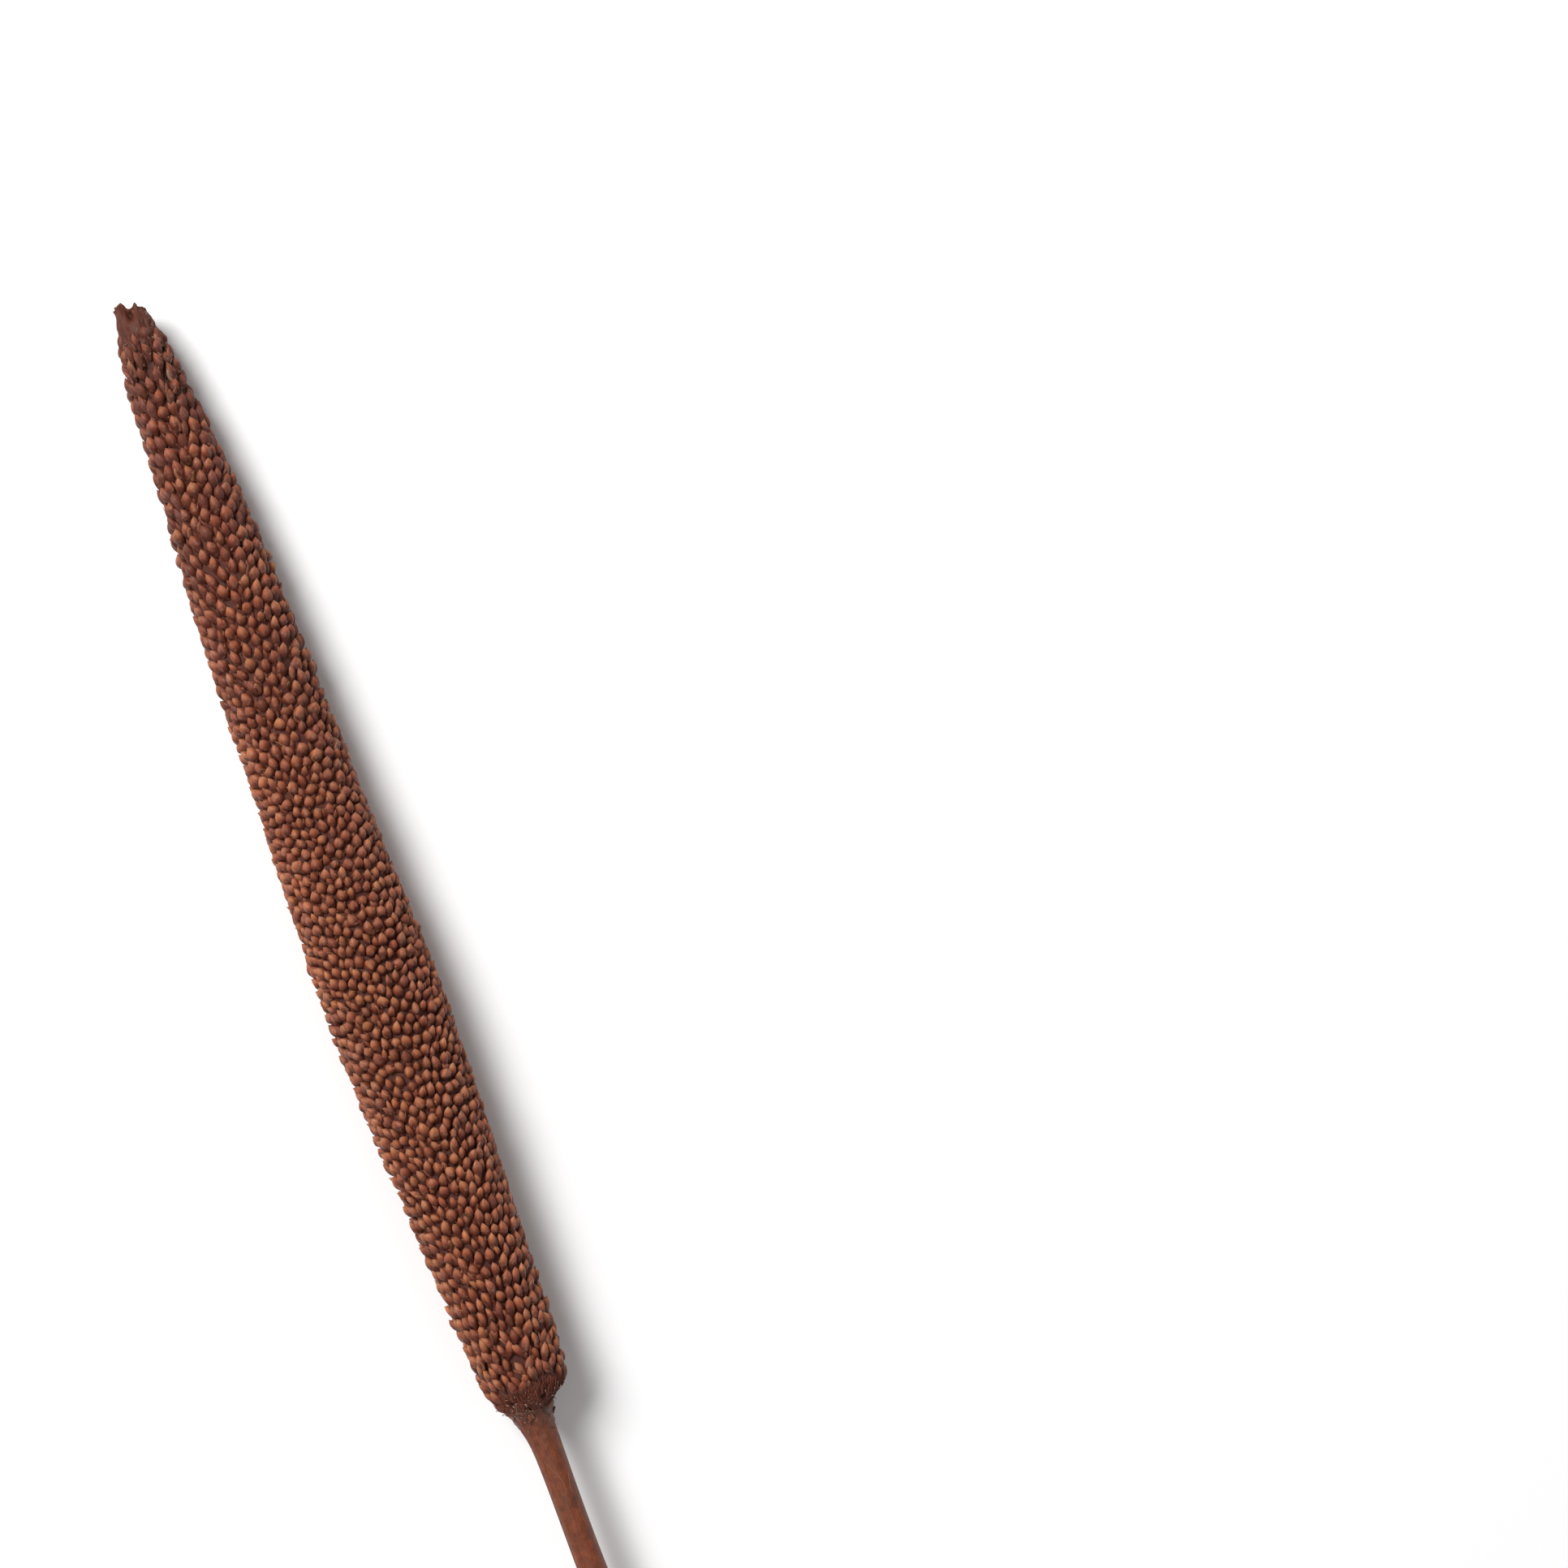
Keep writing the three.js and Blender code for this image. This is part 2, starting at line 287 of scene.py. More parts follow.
# The head's base lies here in the frame.
head_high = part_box("seed_head")[1]
stalk_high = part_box("stalk")[1]
BASE = np.array([head_high.x - HEAD_LENGTH + 0.5 * MM, stalk_high.y - stalk_radius(0), 0])


def head_axis(s):
    s = np.asarray(s, float)
    side = 4 * SIDE_BOW * s * (HEAD_LENGTH - s) / HEAD_LENGTH**2
    side = side + TIP_SHIFT * np.clip((s - TIP_SHIFT_START) / TIP_SHIFT_REACH, 0, 1)
    height = HEAD_RADIUS - PRESSED - (s - BELLY_AT) * TAPER_SLOPE
    return BASE + np.stack([s, side, height], -1)


def head_point(s, turn, out):
    point = head_axis(s)
    point[..., 1] += out * np.cos(turn)
    point[..., 2] += out * np.sin(turn)
    return point


def under_outline(s, turn, depth):
    return head_point(s, turn, head_radius(s) - depth)


def stalk_axis(down):
    down = np.asarray(down, float)
    start = head_axis(0)
    fall = start[2] + TAPER_SLOPE * STALK_LENGTH - stalk_radius(STALK_LENGTH) - SURFACE_GAP
    shift = STALK_SHIFT * (1 - np.exp(-np.maximum(down, 0) / (2 * MM)))
    side = STALK_LEAN * down - STALK_BEND * down**2 + shift
    height = TAPER_SLOPE * down - fall * (down / STALK_LENGTH) ** 2
    return start + np.stack([-down, side, height], -1)


def unit(vectors):
    return vectors / np.linalg.norm(vectors, axis=-1, keepdims=True)


def even_turns(sides):
    """Turns spread evenly round a circle"""
    return np.arange(sides) / sides * TAU


def outward(turn):
    """Unit vectors straight out from the head's axis"""
    return np.stack([np.zeros_like(turn), np.cos(turn), np.sin(turn)], -1)


def leaning(lean, along, out):
    """Directions that lean by these angles from straight out towards the tip"""
    return np.cos(lean)[:, None] * out + np.sin(lean)[:, None] * along


def base_radius(s, turn):
    """The head's outline, with the lip and the hollow of its base"""
    depth, reach = BASE_HOLLOW
    hollow = depth * np.maximum(0, -np.cos(turn)) ** 1.5 * np.exp(-((np.maximum(s, 0) / reach) ** 2))
    height, reach = BASE_LIP
    lip = height * np.maximum(0, np.cos(turn)) ** 4 * np.exp(-(((s - BASE_LIP_AT) / reach) ** 2))
    return head_radius(s) - hollow + lip


def neck_radius(down, turn):
    """The stalk's radius with the lopsided swelling where it enters the head"""
    height = (NECK_HEIGHT[0] + NECK_HEIGHT[1] * np.cos(turn)) * MM
    reach = (NECK_REACH[0] + NECK_REACH[1] * np.cos(turn)) * MM
    swell = height * np.exp(-np.maximum(down, 0) / reach)
    return STALK_RADIUS * (1 + CUT_BULGE * down / STALK_LENGTH) + swell


def from_axis(points):
    """s of points, and how far they are from the head's axis"""
    s = points[..., 0] - BASE[0]
    axis = head_axis(s)
    return s, np.hypot(points[..., 1] - axis[..., 1], points[..., 2] - axis[..., 2])


def sunk(points):
    """How deep points lie under the head's outline: 0 at it and 1 where the painted shade is darkest"""
    s, out = from_axis(points)
    return np.clip((head_radius(s) - out) / SHADE_DEPTH, 0, 1)


def over_outline(points, turn):
    """How far points stand out beyond the head's outline"""
    s, out = from_axis(points)
    return np.maximum(0, out - base_radius(s, turn))


def skin_frame(s, turn):
    """Unit vectors along, round and out of the head's outline"""
    step = 0.5 * MM
    along = unit(under_outline(s + step, turn, 0) - under_outline(s - step, turn, 0))
    around = np.stack([np.zeros_like(turn), -np.sin(turn), np.cos(turn)], -1)
    return along, around, unit(np.cross(around, along))


def aimed(s, turn, lean, stray):
    """Directions that lean by degrees from straight out towards the tip, and stray round the head"""
    along, around, out = skin_frame(s, turn)
    return unit(leaning(np.radians(lean), along, out) + rng.normal(0, stray, len(s))[:, None] * around)


# Mesh tools
def placed(name, data):
    """A new object in the scene"""
    made = bpy.data.objects.new(name, data)
    bpy.context.scene.collection.objects.link(made)
    return made


def tube_faces(rings, sides):
    """Corner indices and face sizes of a tube of rings that a point closes at either end."""
    ring = np.arange(rings - 1)[:, None] * sides
    k = np.arange(sides)
    after = (k + 1) % sides
    quads = np.stack([ring + k, ring + after, ring + sides + after, ring + sides + k], -1)
    start = rings * sides
    last = (rings - 1) * sides
    first_cap = np.stack([np.full(sides, start), after, k], -1)
    last_cap = np.stack([np.full(sides, start + 1), last + k, last + after], -1)
    corners = np.concatenate([quads.ravel(), first_cap.ravel(), last_cap.ravel()])
    sizes = np.concatenate([np.full(quads.size // 4, 4), np.full(2 * sides, 3)])
    return corners, sizes


def pressed(points):
    """Nothing lies below the surface: what would is flattened against it."""
    z = points[..., 2]
    made = points.copy()
    made[..., 2] = 0.5 * (z + np.sqrt(z**2 + PRESS_SOFTNESS**2))
    return made


def mesh_piece(name, points, corners, sizes, data, material, slot, *nodes):
    """A piece of the object from arrays of points, face corners and face sizes.
    data holds four numbers for each point, which its material reads."""
    mesh = bpy.data.meshes.new(name)
    mesh.vertices.add(len(points))
    mesh.vertices.foreach_set("co", points.astype(np.float32).ravel())
    mesh.loops.add(len(corners))
    mesh.loops.foreach_set("vertex_index", corners.astype(np.int32))
    mesh.polygons.add(len(sizes))
    starts = np.concatenate([[0], np.cumsum(sizes)[:-1]])
    mesh.polygons.foreach_set("loop_start", starts.astype(np.int32))
    mesh.polygons.foreach_set("use_smooth", np.ones(len(sizes), bool))
    layer = mesh.attributes.new("data", "FLOAT_COLOR", "POINT")
    layer.data.foreach_set("color", data.astype(np.float32).ravel())
    mesh.update(calc_edges=True)
    mesh.validate()
    mesh.materials.append(material)
    piece = placed(name, mesh)
    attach(piece, "root")
    if nodes:
        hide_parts(*nodes)


def tubes(centres, side_x, side_y, offset_x, offset_y, data):
    """Points, corners, sizes and data of many tubes at once.
    centres: tubes, rings + 2 end points, xyz. offsets: tubes, rings, sides.
    data: tubes, rings + 2, sides or 1, 4. Its last number is set to the depth under the outline."""
    count, rings, sides = offset_x.shape
    rows = centres[:, 1:-1, None, :]
    rows = rows + offset_x[..., None] * side_x[:, None, None, :]
    rows = rows + offset_y[..., None] * side_y[:, None, None, :]
    ends = centres[:, [0, -1], :]
    points = np.concatenate([rows.reshape(count, -1, 3), ends], 1)
    middle = np.broadcast_to(data[:, 1:-1], (count, rings, sides, 4)).reshape(count, -1, 4)
    values = np.concatenate([middle, data[:, [0, -1], 0]], 1)
    values[..., 3] = sunk(points)
    corners, sizes = tube_faces(rings, sides)
    each = points.shape[1]
    corners = (corners[None, :] + np.arange(count)[:, None] * each).ravel()
    return pressed(points.reshape(-1, 3)), corners, np.tile(sizes, count), values.reshape(-1, 4)


# Where the spikelets stand
def spot_tree(spots):
    tree = kdtree.KDTree(len(spots))
    for k, spot in enumerate(spots):
        tree.insert(spot, k)
    tree.balance()
    return tree


def spread_sites():
    """Evenly crowded places on the head, and a size for each: rows that are shaken and pushed apart."""
    s_line = np.linspace(FIRST_ROW, LAST_ROW, 2000)
    round_gap, along_gap, stray, slant = table(SPACING, s_line)
    slope = np.gradient(head_radius(s_line), s_line)
    steps = np.diff(s_line) * np.hypot(1, slope[1:]) / (along_gap[1:] * MM)
    rows_line = np.concatenate([[0], np.cumsum(steps)])
    girth_line = head_radius(s_line) / (round_gap * MM)
    row_step = 0.866  # between the rows of an even triangular pattern
    fewest = 5  # in a row
    passes = 9
    search = 1.45  # how far a neighbour may be, in steps of the pattern
    room = 0.56  # that neighbours keep, as a share of the sum of their sizes
    ease = 0.33  # share of a push that one pass takes
    places = []
    for index in range(int(rows_line[-1] / row_step) + 1):
        row = index * row_step
        count = max(fewest, round(TAU * np.interp(row, rows_line, girth_line)))
        for k in range(count):
            places.append((row, (k + 0.5 * (index % 2)) / count * TAU))
    places = np.array(places)
    girth = np.interp(places[:, 0], rows_line, girth_line)
    shake = np.interp(places[:, 0], rows_line, stray)
    size = 1 + rng.normal(0, SIZE_SPREAD, len(places)) * np.clip(shake / 0.3, 0.4, 1)
    size = np.clip(size, *SIZE_LIMITS)
    slanted = np.interp(places[:, 0], rows_line, slant * round_gap / along_gap)
    places[:, 0] += slanted * girth * np.cos(places[:, 1])
    places[:, 0] += rng.normal(0, 1, len(places)) * shake
    places[:, 1] += rng.normal(0, 1, len(places)) * shake / girth
    for _ in range(passes):
        places[:, 0] = np.clip(places[:, 0], 0, rows_line[-1])
        girth = np.interp(places[:, 0], rows_line, girth_line)
        around = np.stack([-np.sin(places[:, 1]), np.cos(places[:, 1])], -1)
        spots = np.stack([places[:, 0], girth * around[:, 1], -girth * around[:, 0]], -1)
        tree = spot_tree(spots)
        push = np.zeros_like(spots)
        for k, spot in enumerate(spots):
            for other, number, gap in tree.find_range(spot, search):
                reach = room * (size[k] + size[number])
                if 1e-6 < gap < reach:
                    push[k] += (spot - np.array(other)) * ((reach - gap) / gap)
        places[:, 0] += ease * push[:, 0]
        places[:, 1] += ease * (push[:, 1:] * around).sum(1) / girth
    return np.interp(places[:, 0], rows_line, s_line), places[:, 1], size


def spikelet_places():
    """s, turn, sideways splay and width of every spikelet"""
    s, turn, size = spread_sites()
    width = table(STANCE, s)[2] * MM * size
    parts = [(s, turn, np.zeros(len(s)), width)]
    for index, row in enumerate(PAIR_ROWS):
        girth = head_radius(row * MM)
        count = round(TAU * girth / (PAIR_ROOM * MM))
        pair_turn = (np.arange(count) + 0.5 * (index % 2) + rng.normal(0, 0.09, count)) / count * TAU
        pair_s = row * MM + rng.normal(0, 0.5, count) * MM
        if index == 0:
            kept = rng.random(count) < PAIRS_LEFT
            pair_turn, pair_s, count = pair_turn[kept], pair_s[kept], kept.sum()
        for side in (-1, 1):
            across = side * PAIR_HALF_GAP * PAIR_WIDTH * MM / girth
            splay = side * rng.normal(*PAIR_SPLAY, count)
            width = PAIR_WIDTH * MM * rng.normal(1, 0.07, count)
            parts.append((pair_s + rng.normal(0, 0.25, count) * MM, pair_turn + across, splay, width))
    return [np.concatenate(column) for column in zip(*parts)]


def gap_places(s, turn):
    """s and turn of the small spikelets in the gaps between those at s and turn"""
    tree = spot_tree(head_point(s, turn, head_radius(s)))
    new_s = rng.uniform(GAPS_START, GAPS_END, GAP_TRIES)
    new_turn = rng.uniform(0, TAU, GAP_TRIES)
    spots = head_point(new_s, new_turn, head_radius(new_s))
    kept = []
    for k, spot in enumerate(spots):
        if tree.find(spot)[2] > GAP_ROOM:
            if not kept or np.linalg.norm(spots[kept] - spot, axis=1).min() > GAP_SPACING:
                kept.append(k)
    return new_s[kept], new_turn[kept]


class Stand:
    """The place and axes of each of many spikelets, which low sinks under the outline"""

    def __init__(self, s, turn, splay, width, low=0):
        count = len(s)
        lean, length, _, pointed = table(STANCE, s)
        self.s = s
        self.turn = turn
        self.length = length * MM * rng.normal(1, LENGTH_SPREAD, count)
        self.width = width * rng.normal(1, WIDTH_SPREAD, count)
        self.pointed = np.clip(pointed + rng.normal(0, POINT_SPREAD, count), 0, 1)[:, None]
        self.tone = np.clip(rng.normal(0, TONE_SPREAD, count) + table(TONE, s)[0], 0, 1)
        lean = np.radians(lean + rng.normal(0, LEAN_SPREAD, count))
        along, around, out = skin_frame(s, turn)
        splay = splay + rng.normal(0, SPLAY_SPREAD, count)
        self.aim = unit(leaning(lean, along, out) + splay[:, None] * around)
        back = unit(out - (out * self.aim).sum(-1, keepdims=True) * self.aim)
        twist = rng.normal(0, TWIST_SPREAD, count)[:, None]
        side = np.cross(back, self.aim)
        self.side = np.cos(twist) * side + np.sin(twist) * back
        self.back = np.cos(twist) * back - np.sin(twist) * side
        widest = 0.64  # place along a spikelet
        rise = (1 - widest) * self.length * np.cos(lean)
        reach = np.hypot(rise, 0.5 * self.width * THICKNESS * np.sin(lean))
        sink = rng.normal(0, SINK_SPREAD, count) * MM - 0.25 * (self.width - np.median(self.width))
        sink = sink + low - table(RAISED, s)[0] * MM
        middle = head_point(s, turn, head_radius(s) - reach - sink)
        self.root = middle - self.aim * (widest * self.length)[:, None]
        self.bend_back = rng.normal(*BEND_BACK, count)
        self.bend_side = rng.normal(*BEND_SIDE, count)

    def bent(self, places):
        """Points at these places along each spikelet"""
        along = self.root[:, None] + self.aim[:, None] * (places * self.length[:, None])[..., None]
        curve = ((places - 0.6) ** 2 * self.length[:, None])[..., None]
        along = along + self.back[:, None] * self.bend_back[:, None, None] * curve
        return along + self.side[:, None] * self.bend_side[:, None, None] * curve


def spikelets(stand, sides=SPIKELET_SIDES):
    """Points, corners, sizes and data of the spikelets of a stand"""
    count = len(stand.s)
    at, full, sharp = np.array(SPIKELET).T
    places = np.concatenate([[at[0] - 0.03], at, [at[-1] + 0.03]])
    half = 0.5 * stand.width[:, None] * ((1 - stand.pointed) * full + stand.pointed * sharp)
    corner = np.arange(sides)
    angle = corner / sides * TAU + TAU / 4
    section = 1 + FACETS * np.cos(corner * TAU / 2)
    section[0] += KEEL
    shape = 1 + rng.normal(0, CORNER_SPREAD, (count, 1, sides))
    for fold, size in UNEVEN:
        phase = rng.uniform(0, TAU, (count, 1, 1))
        shape = shape + rng.normal(0, size, (count, 1, 1)) * np.cos(fold * angle + phase)
    offset_x = half[..., None] * np.cos(angle) * section * shape
    offset_y = half[..., None] * np.sin(angle) * section * shape * THICKNESS
    data = np.zeros((count, len(places), sides, 4))
    data[..., 0] = np.clip(places, 0, 1)[None, :, None]
    data[..., 1] = stand.tone[:, None, None]
    data[..., 2] = corner / sides
    return tubes(stand.bent(places), stand.side, stand.back, offset_x, offset_y, data)


def strands(name, material, root, aim, length, bow, thick, toward=0, rings=3, sides=3, blunt=0.05):
    """A piece of bristles, hairs or stubs, which leave their roots along aim.
    They bend by about bow, and towards a direction. thick is their least and most thickness in mm."""
    count = len(root)
    bow = rng.normal(0, bow, (count, 3)) + toward
    thick = rng.uniform(*thick, count) * MM
    at = np.linspace(0, 1, rings + 2)
    along = at * length[:, None]
    centres = root[:, None] + aim[:, None] * along[..., None]
    centres = centres + bow[:, None] * (along * at)[..., None]
    side = unit(np.cross(aim, np.roll(aim, 1, -1) + 0.01))
    back = np.cross(aim, side)
    place = np.linspace(0, 1, rings)
    taper = thick[:, None] * (1 - (1 - blunt) * place**1.5) / 2
    angle = even_turns(sides)
    data = np.zeros((count, rings + 2, sides, 4))
    data[..., 0] = at[None, :, None]
    data[..., 1] = rng.random(count)[:, None, None]
    offset_x = taper[..., None] * np.cos(angle)
    offset_y = taper[..., None] * np.sin(angle)
    made = tubes(centres, side, back, offset_x, offset_y, data)
    mesh_piece(name, *made, material, "grain")


def blades(root, aim, face, length, width, cup, curl, thick, tone=None, rings=4, sides=6, point=2.5):
    """Thin dry scales. face is the way a scale's back looks; it is hollowed across and curled along.
    A large point keeps a scale broad until near its end. cup, curl and thick may be one number,
    and the tone is random unless it is given."""
    count = len(root)
    if tone is None:
        tone = rng.random(count)
    cup, curl, thick, tone = (np.broadcast_to(value, count) for value in (cup, curl, thick, tone))
    at = np.linspace(0, 1, rings + 2)
    face = unit(face - (face * aim).sum(-1, keepdims=True) * aim)
    along = at * length[:, None]
    centres = root[:, None] + aim[:, None] * along[..., None]
    centres = centres + face[:, None] * (curl[:, None] * along * at)[..., None]
    outline = (0.5 + 0.5 * np.minimum(1, at / 0.35)) * (1 - at**point) ** 0.8
    half = 0.5 * width[:, None] * outline[1:-1] * (1 + rng.normal(0, 0.05, (count, rings)))
    angle = even_turns(sides)
    offset_x = half[..., None] * np.cos(angle)
    hollow = cup[:, None, None] * offset_x**2 / (0.5 * width)[:, None, None]
    offset_y = 0.5 * thick[:, None, None] * np.sin(angle) - hollow
    data = np.zeros((count, rings + 2, sides, 4))
    data[..., 0] = at[None, :, None]
    data[..., 1] = tone[:, None, None]
    data[:, 1:-1, :, 2] = np.abs(np.cos(angle))
    return tubes(centres, np.cross(face, aim), face, offset_x, offset_y, data)


# Materials
class Nodes:
    """A short way to lay out the nodes of one material."""

    def __init__(self, name):
        self.material = bpy.data.materials.new(name)
        self.material.use_nodes = True
        self.tree = self.material.node_tree
        self.shader = self.tree.nodes["Principled BSDF"]

    def add(self, kind, sockets=(), **settings):
        node = self.tree.nodes.new(kind)
        for key, value in settings.items():
            setattr(node, key, value)
        for key, value in dict(sockets).items():
            self.put(node.inputs[key], value)
        return node

    def put(self, socket, value):
        if isinstance(value, bpy.types.NodeSocket):
            self.tree.links.new(value, socket)
        else:
            socket.default_value = value

    def data(self):
        """The four numbers of the mesh's data layer."""
        layer = self.add("ShaderNodeAttribute", attribute_name="data")
        parts = self.add("ShaderNodeSeparateColor", {"Color": layer.outputs["Color"]})
        return [*parts.outputs, layer.outputs["Alpha"]]

    def ramp(self, fac, stops):
        node = self.add("ShaderNodeValToRGB", {"Fac": fac})
        elements = node.color_ramp.elements
        while len(elements) < len(stops):
            elements.new(0.5)
        for element, (place, colour) in zip(elements, stops):
            element.position = place
            element.color = (*colour, 1)
        return node.outputs["Color"]

    def spread(self, value, low, high, start=0.0, end=1.0):
        """A value between start and end mapped to the range from low to high."""
        sockets = {"Value": value, "From Min": start, "From Max": end, "To Min": low, "To Max": high}
        return self.add("ShaderNodeMapRange", sockets).outputs["Result"]

    def noise(self, scale, detail=3, vector=None, roughness=0.5):
        if vector is None:
            vector = self.add("ShaderNodeTexCoord").outputs["Object"]
        sockets = {"Vector": vector, "Scale": scale, "Detail": detail, "Roughness": roughness}
        return self.add("ShaderNodeTexNoise", sockets).outputs["Fac"]

    def vector(self, x, y, z):
        return self.add("ShaderNodeCombineXYZ", {"X": x, "Y": y, "Z": z}).outputs["Vector"]

    def product(self, a, b):
        return self.sums("MULTIPLY", a, b)

    def sums(self, kind, a, b=0.0):
        """What a math node of this kind gives"""
        node = self.add("ShaderNodeMath", operation=kind)
        self.put(node.inputs[0], a)
        self.put(node.inputs[1], b)
        return node.outputs["Value"]

    def times(self, colour, value):
        """A colour made lighter or darker by a node's number"""
        return self.mix(1.0, colour, value, "MULTIPLY")

    def mix(self, fac, a, b, blend="MIX"):
        node = self.add("ShaderNodeMix", data_type="RGBA", blend_type=blend)
        self.put(node.inputs["Factor"], fac)
        for socket, value in zip(node.inputs[6:8], (a, b)):
            self.put(socket, value if isinstance(value, bpy.types.NodeSocket) else (*value, 1))
        return node.outputs[2]

    def finish(self, colour, roughness, specular, height, strength, distance):
        """The material with these on its shader. The height makes its bump."""
        sockets = {"Height": height, "Strength": strength, "Distance": distance}
        normal = self.add("ShaderNodeBump", sockets).outputs["Normal"]
        names = ("Base Color", "Roughness", "Specular IOR Level", "Normal")
        for name, value in zip(names, (colour, roughness, specular, normal)):
            self.put(self.shader.inputs[name], value)
        return self.material


def grain_material():
    """Dry seeds: orange-brown backs with a dull point and fine lines along them. Towards the root they
    turn dark red, partly their own colour and partly painted shade, and points deep between the grains get
    painted shade.
    """
    line_colour = (0.06, 0.02, 0.012)
    dust_colour = (0.4, 0.2, 0.125)
    redder = (1, 0.84, 0.86)
    tanner = (1, 1.13, 1.16)
    dull_colour = (0.14, 0.038, 0.021)
    painted_shade_colour = (0.125, 0.029, 0.017)
    n = Nodes("grain")
    along, tone, around, depth = n.data()
    other = n.sums("FRACT", n.product(tone, 37.0))
    # Colour from root to tip: the dark red towards the root is partly the seed's own colour and partly
    # painted shade where its neighbours cover it.
    body = n.ramp(
        along,
        [
            (0.2, (0.075, 0.017, 0.008)),
            (0.5, (0.125, 0.028, 0.0125)),
            (0.67, (0.25, 0.064, 0.027)),
            (0.82, (0.45, 0.138, 0.058)),
            (0.93, (0.53, 0.19, 0.086)),
            (1, (0.42, 0.175, 0.095)),
        ],
    )
    tint = n.ramp(
        other,
        [(0, (1, 0.92, 0.78)), (0.35, (1, 0.86, 0.8)), (0.7, (0.9, 0.7, 0.68)), (1, (0.82, 0.74, 0.76))],
    )
    body = n.mix(1.0, body, tint, "MULTIPLY")
    clouds = n.noise(60, 4)
    body = n.times(body, n.product(n.spread(tone, 0.54, 1.33), n.spread(clouds, 0.74, 1.26)))
    lines_at = n.vector(
        n.product(around, 16.0),
        n.product(along, 1.6),
        n.product(other, 90.0),
    )
    lines = n.noise(1.0, 2, lines_at)
    body = n.mix(n.spread(lines, 0, 0.3), body, line_colour)
    specks = n.noise(1300, 3)
    body = n.mix(n.spread(specks, 0, 0.5, 0.5, 0.72), body, dust_colour)
    body = n.mix(n.spread(tone, 0.8, 0, 0.05, 0.45), body, redder, "MULTIPLY")
    body = n.mix(n.spread(tone, 0, 1, 0.3, 0.6), body, tanner, "MULTIPLY")
    body = n.mix(n.spread(tone, 0.7, 0, 0, 0.2), body, dull_colour)
    # Painted shade: points deep under the head's outline, in the gaps between the grains, are darkened
    # towards the shade colour.
    painted_gap_shade = n.ramp(depth, [(0.1, (0, 0, 0)), (0.42, (0.48, 0.48, 0.48)), (0.8, (0.88, 0.88, 0.88))])
    body = n.mix(painted_gap_shade, body, painted_shade_colour)
    grit = n.noise(1500, 3)
    height = n.sums("ADD", lines, n.product(grit, 1.2))
    return n.finish(body, n.spread(lines, 0.42, 0.62), 0.32, height, 0.6, 0.11 * MM)


def dry_material(name, root, tip, rim, roughness):
    """Bristles, hairs and scales: a colour from root to tip, one along a scale's rim, and painted shade on
    points deep under the head's outline
    """
    painted_shade_colour = (0.04, 0.012, 0.008)
    n = Nodes(name)
    along, tone, edge, depth = n.data()
    body = n.ramp(along, [(0, root), (0.65, [(a + b) / 2 for a, b in zip(root, tip)]), (1, tip)])
    body = n.mix(n.spread(edge, 0, 0.8, 0.6, 1), body, rim)
    patches = n.noise(400, 3)
    body = n.times(body, n.product(n.spread(tone, 0.55, 1.45), n.spread(patches, 0.75, 1.25)))
    # Painted shade: points deep under the head's outline are darkened.
    body = n.mix(n.spread(depth, 0, 0.9, 0.35, 1), body, painted_shade_colour)
    roughness = n.spread(n.noise(900), roughness - 0.1, roughness + 0.1)
    grit = n.noise(2600, 4)
    return n.finish(body, roughness, 0.3, grit, 0.6, 0.05 * MM)


def core_material():
    """The dark stem and chaff seen between the grains, with painted shade that darkens them the deeper
    they lie under the outline
    """
    core_shade_colour = (0.085, 0.021, 0.0125)
    n = Nodes("core")
    _, _, _, depth = n.data()
    fine = n.noise(1400, 5, roughness=0.65)
    felt = n.ramp(
        fine,
        [(0.3, (0.05, 0.014, 0.008)), (0.55, (0.12, 0.036, 0.019)), (0.8, (0.2, 0.075, 0.042))],
    )
    # Painted shade: the deeper the core lies under the head's outline, the darker it is made.
    body = n.mix(n.spread(depth, 0, 1, 0.3, 0.85), felt, core_shade_colour)
    return n.finish(body, 0.8, 0.5, fine, 0.9, 0.3 * MM)


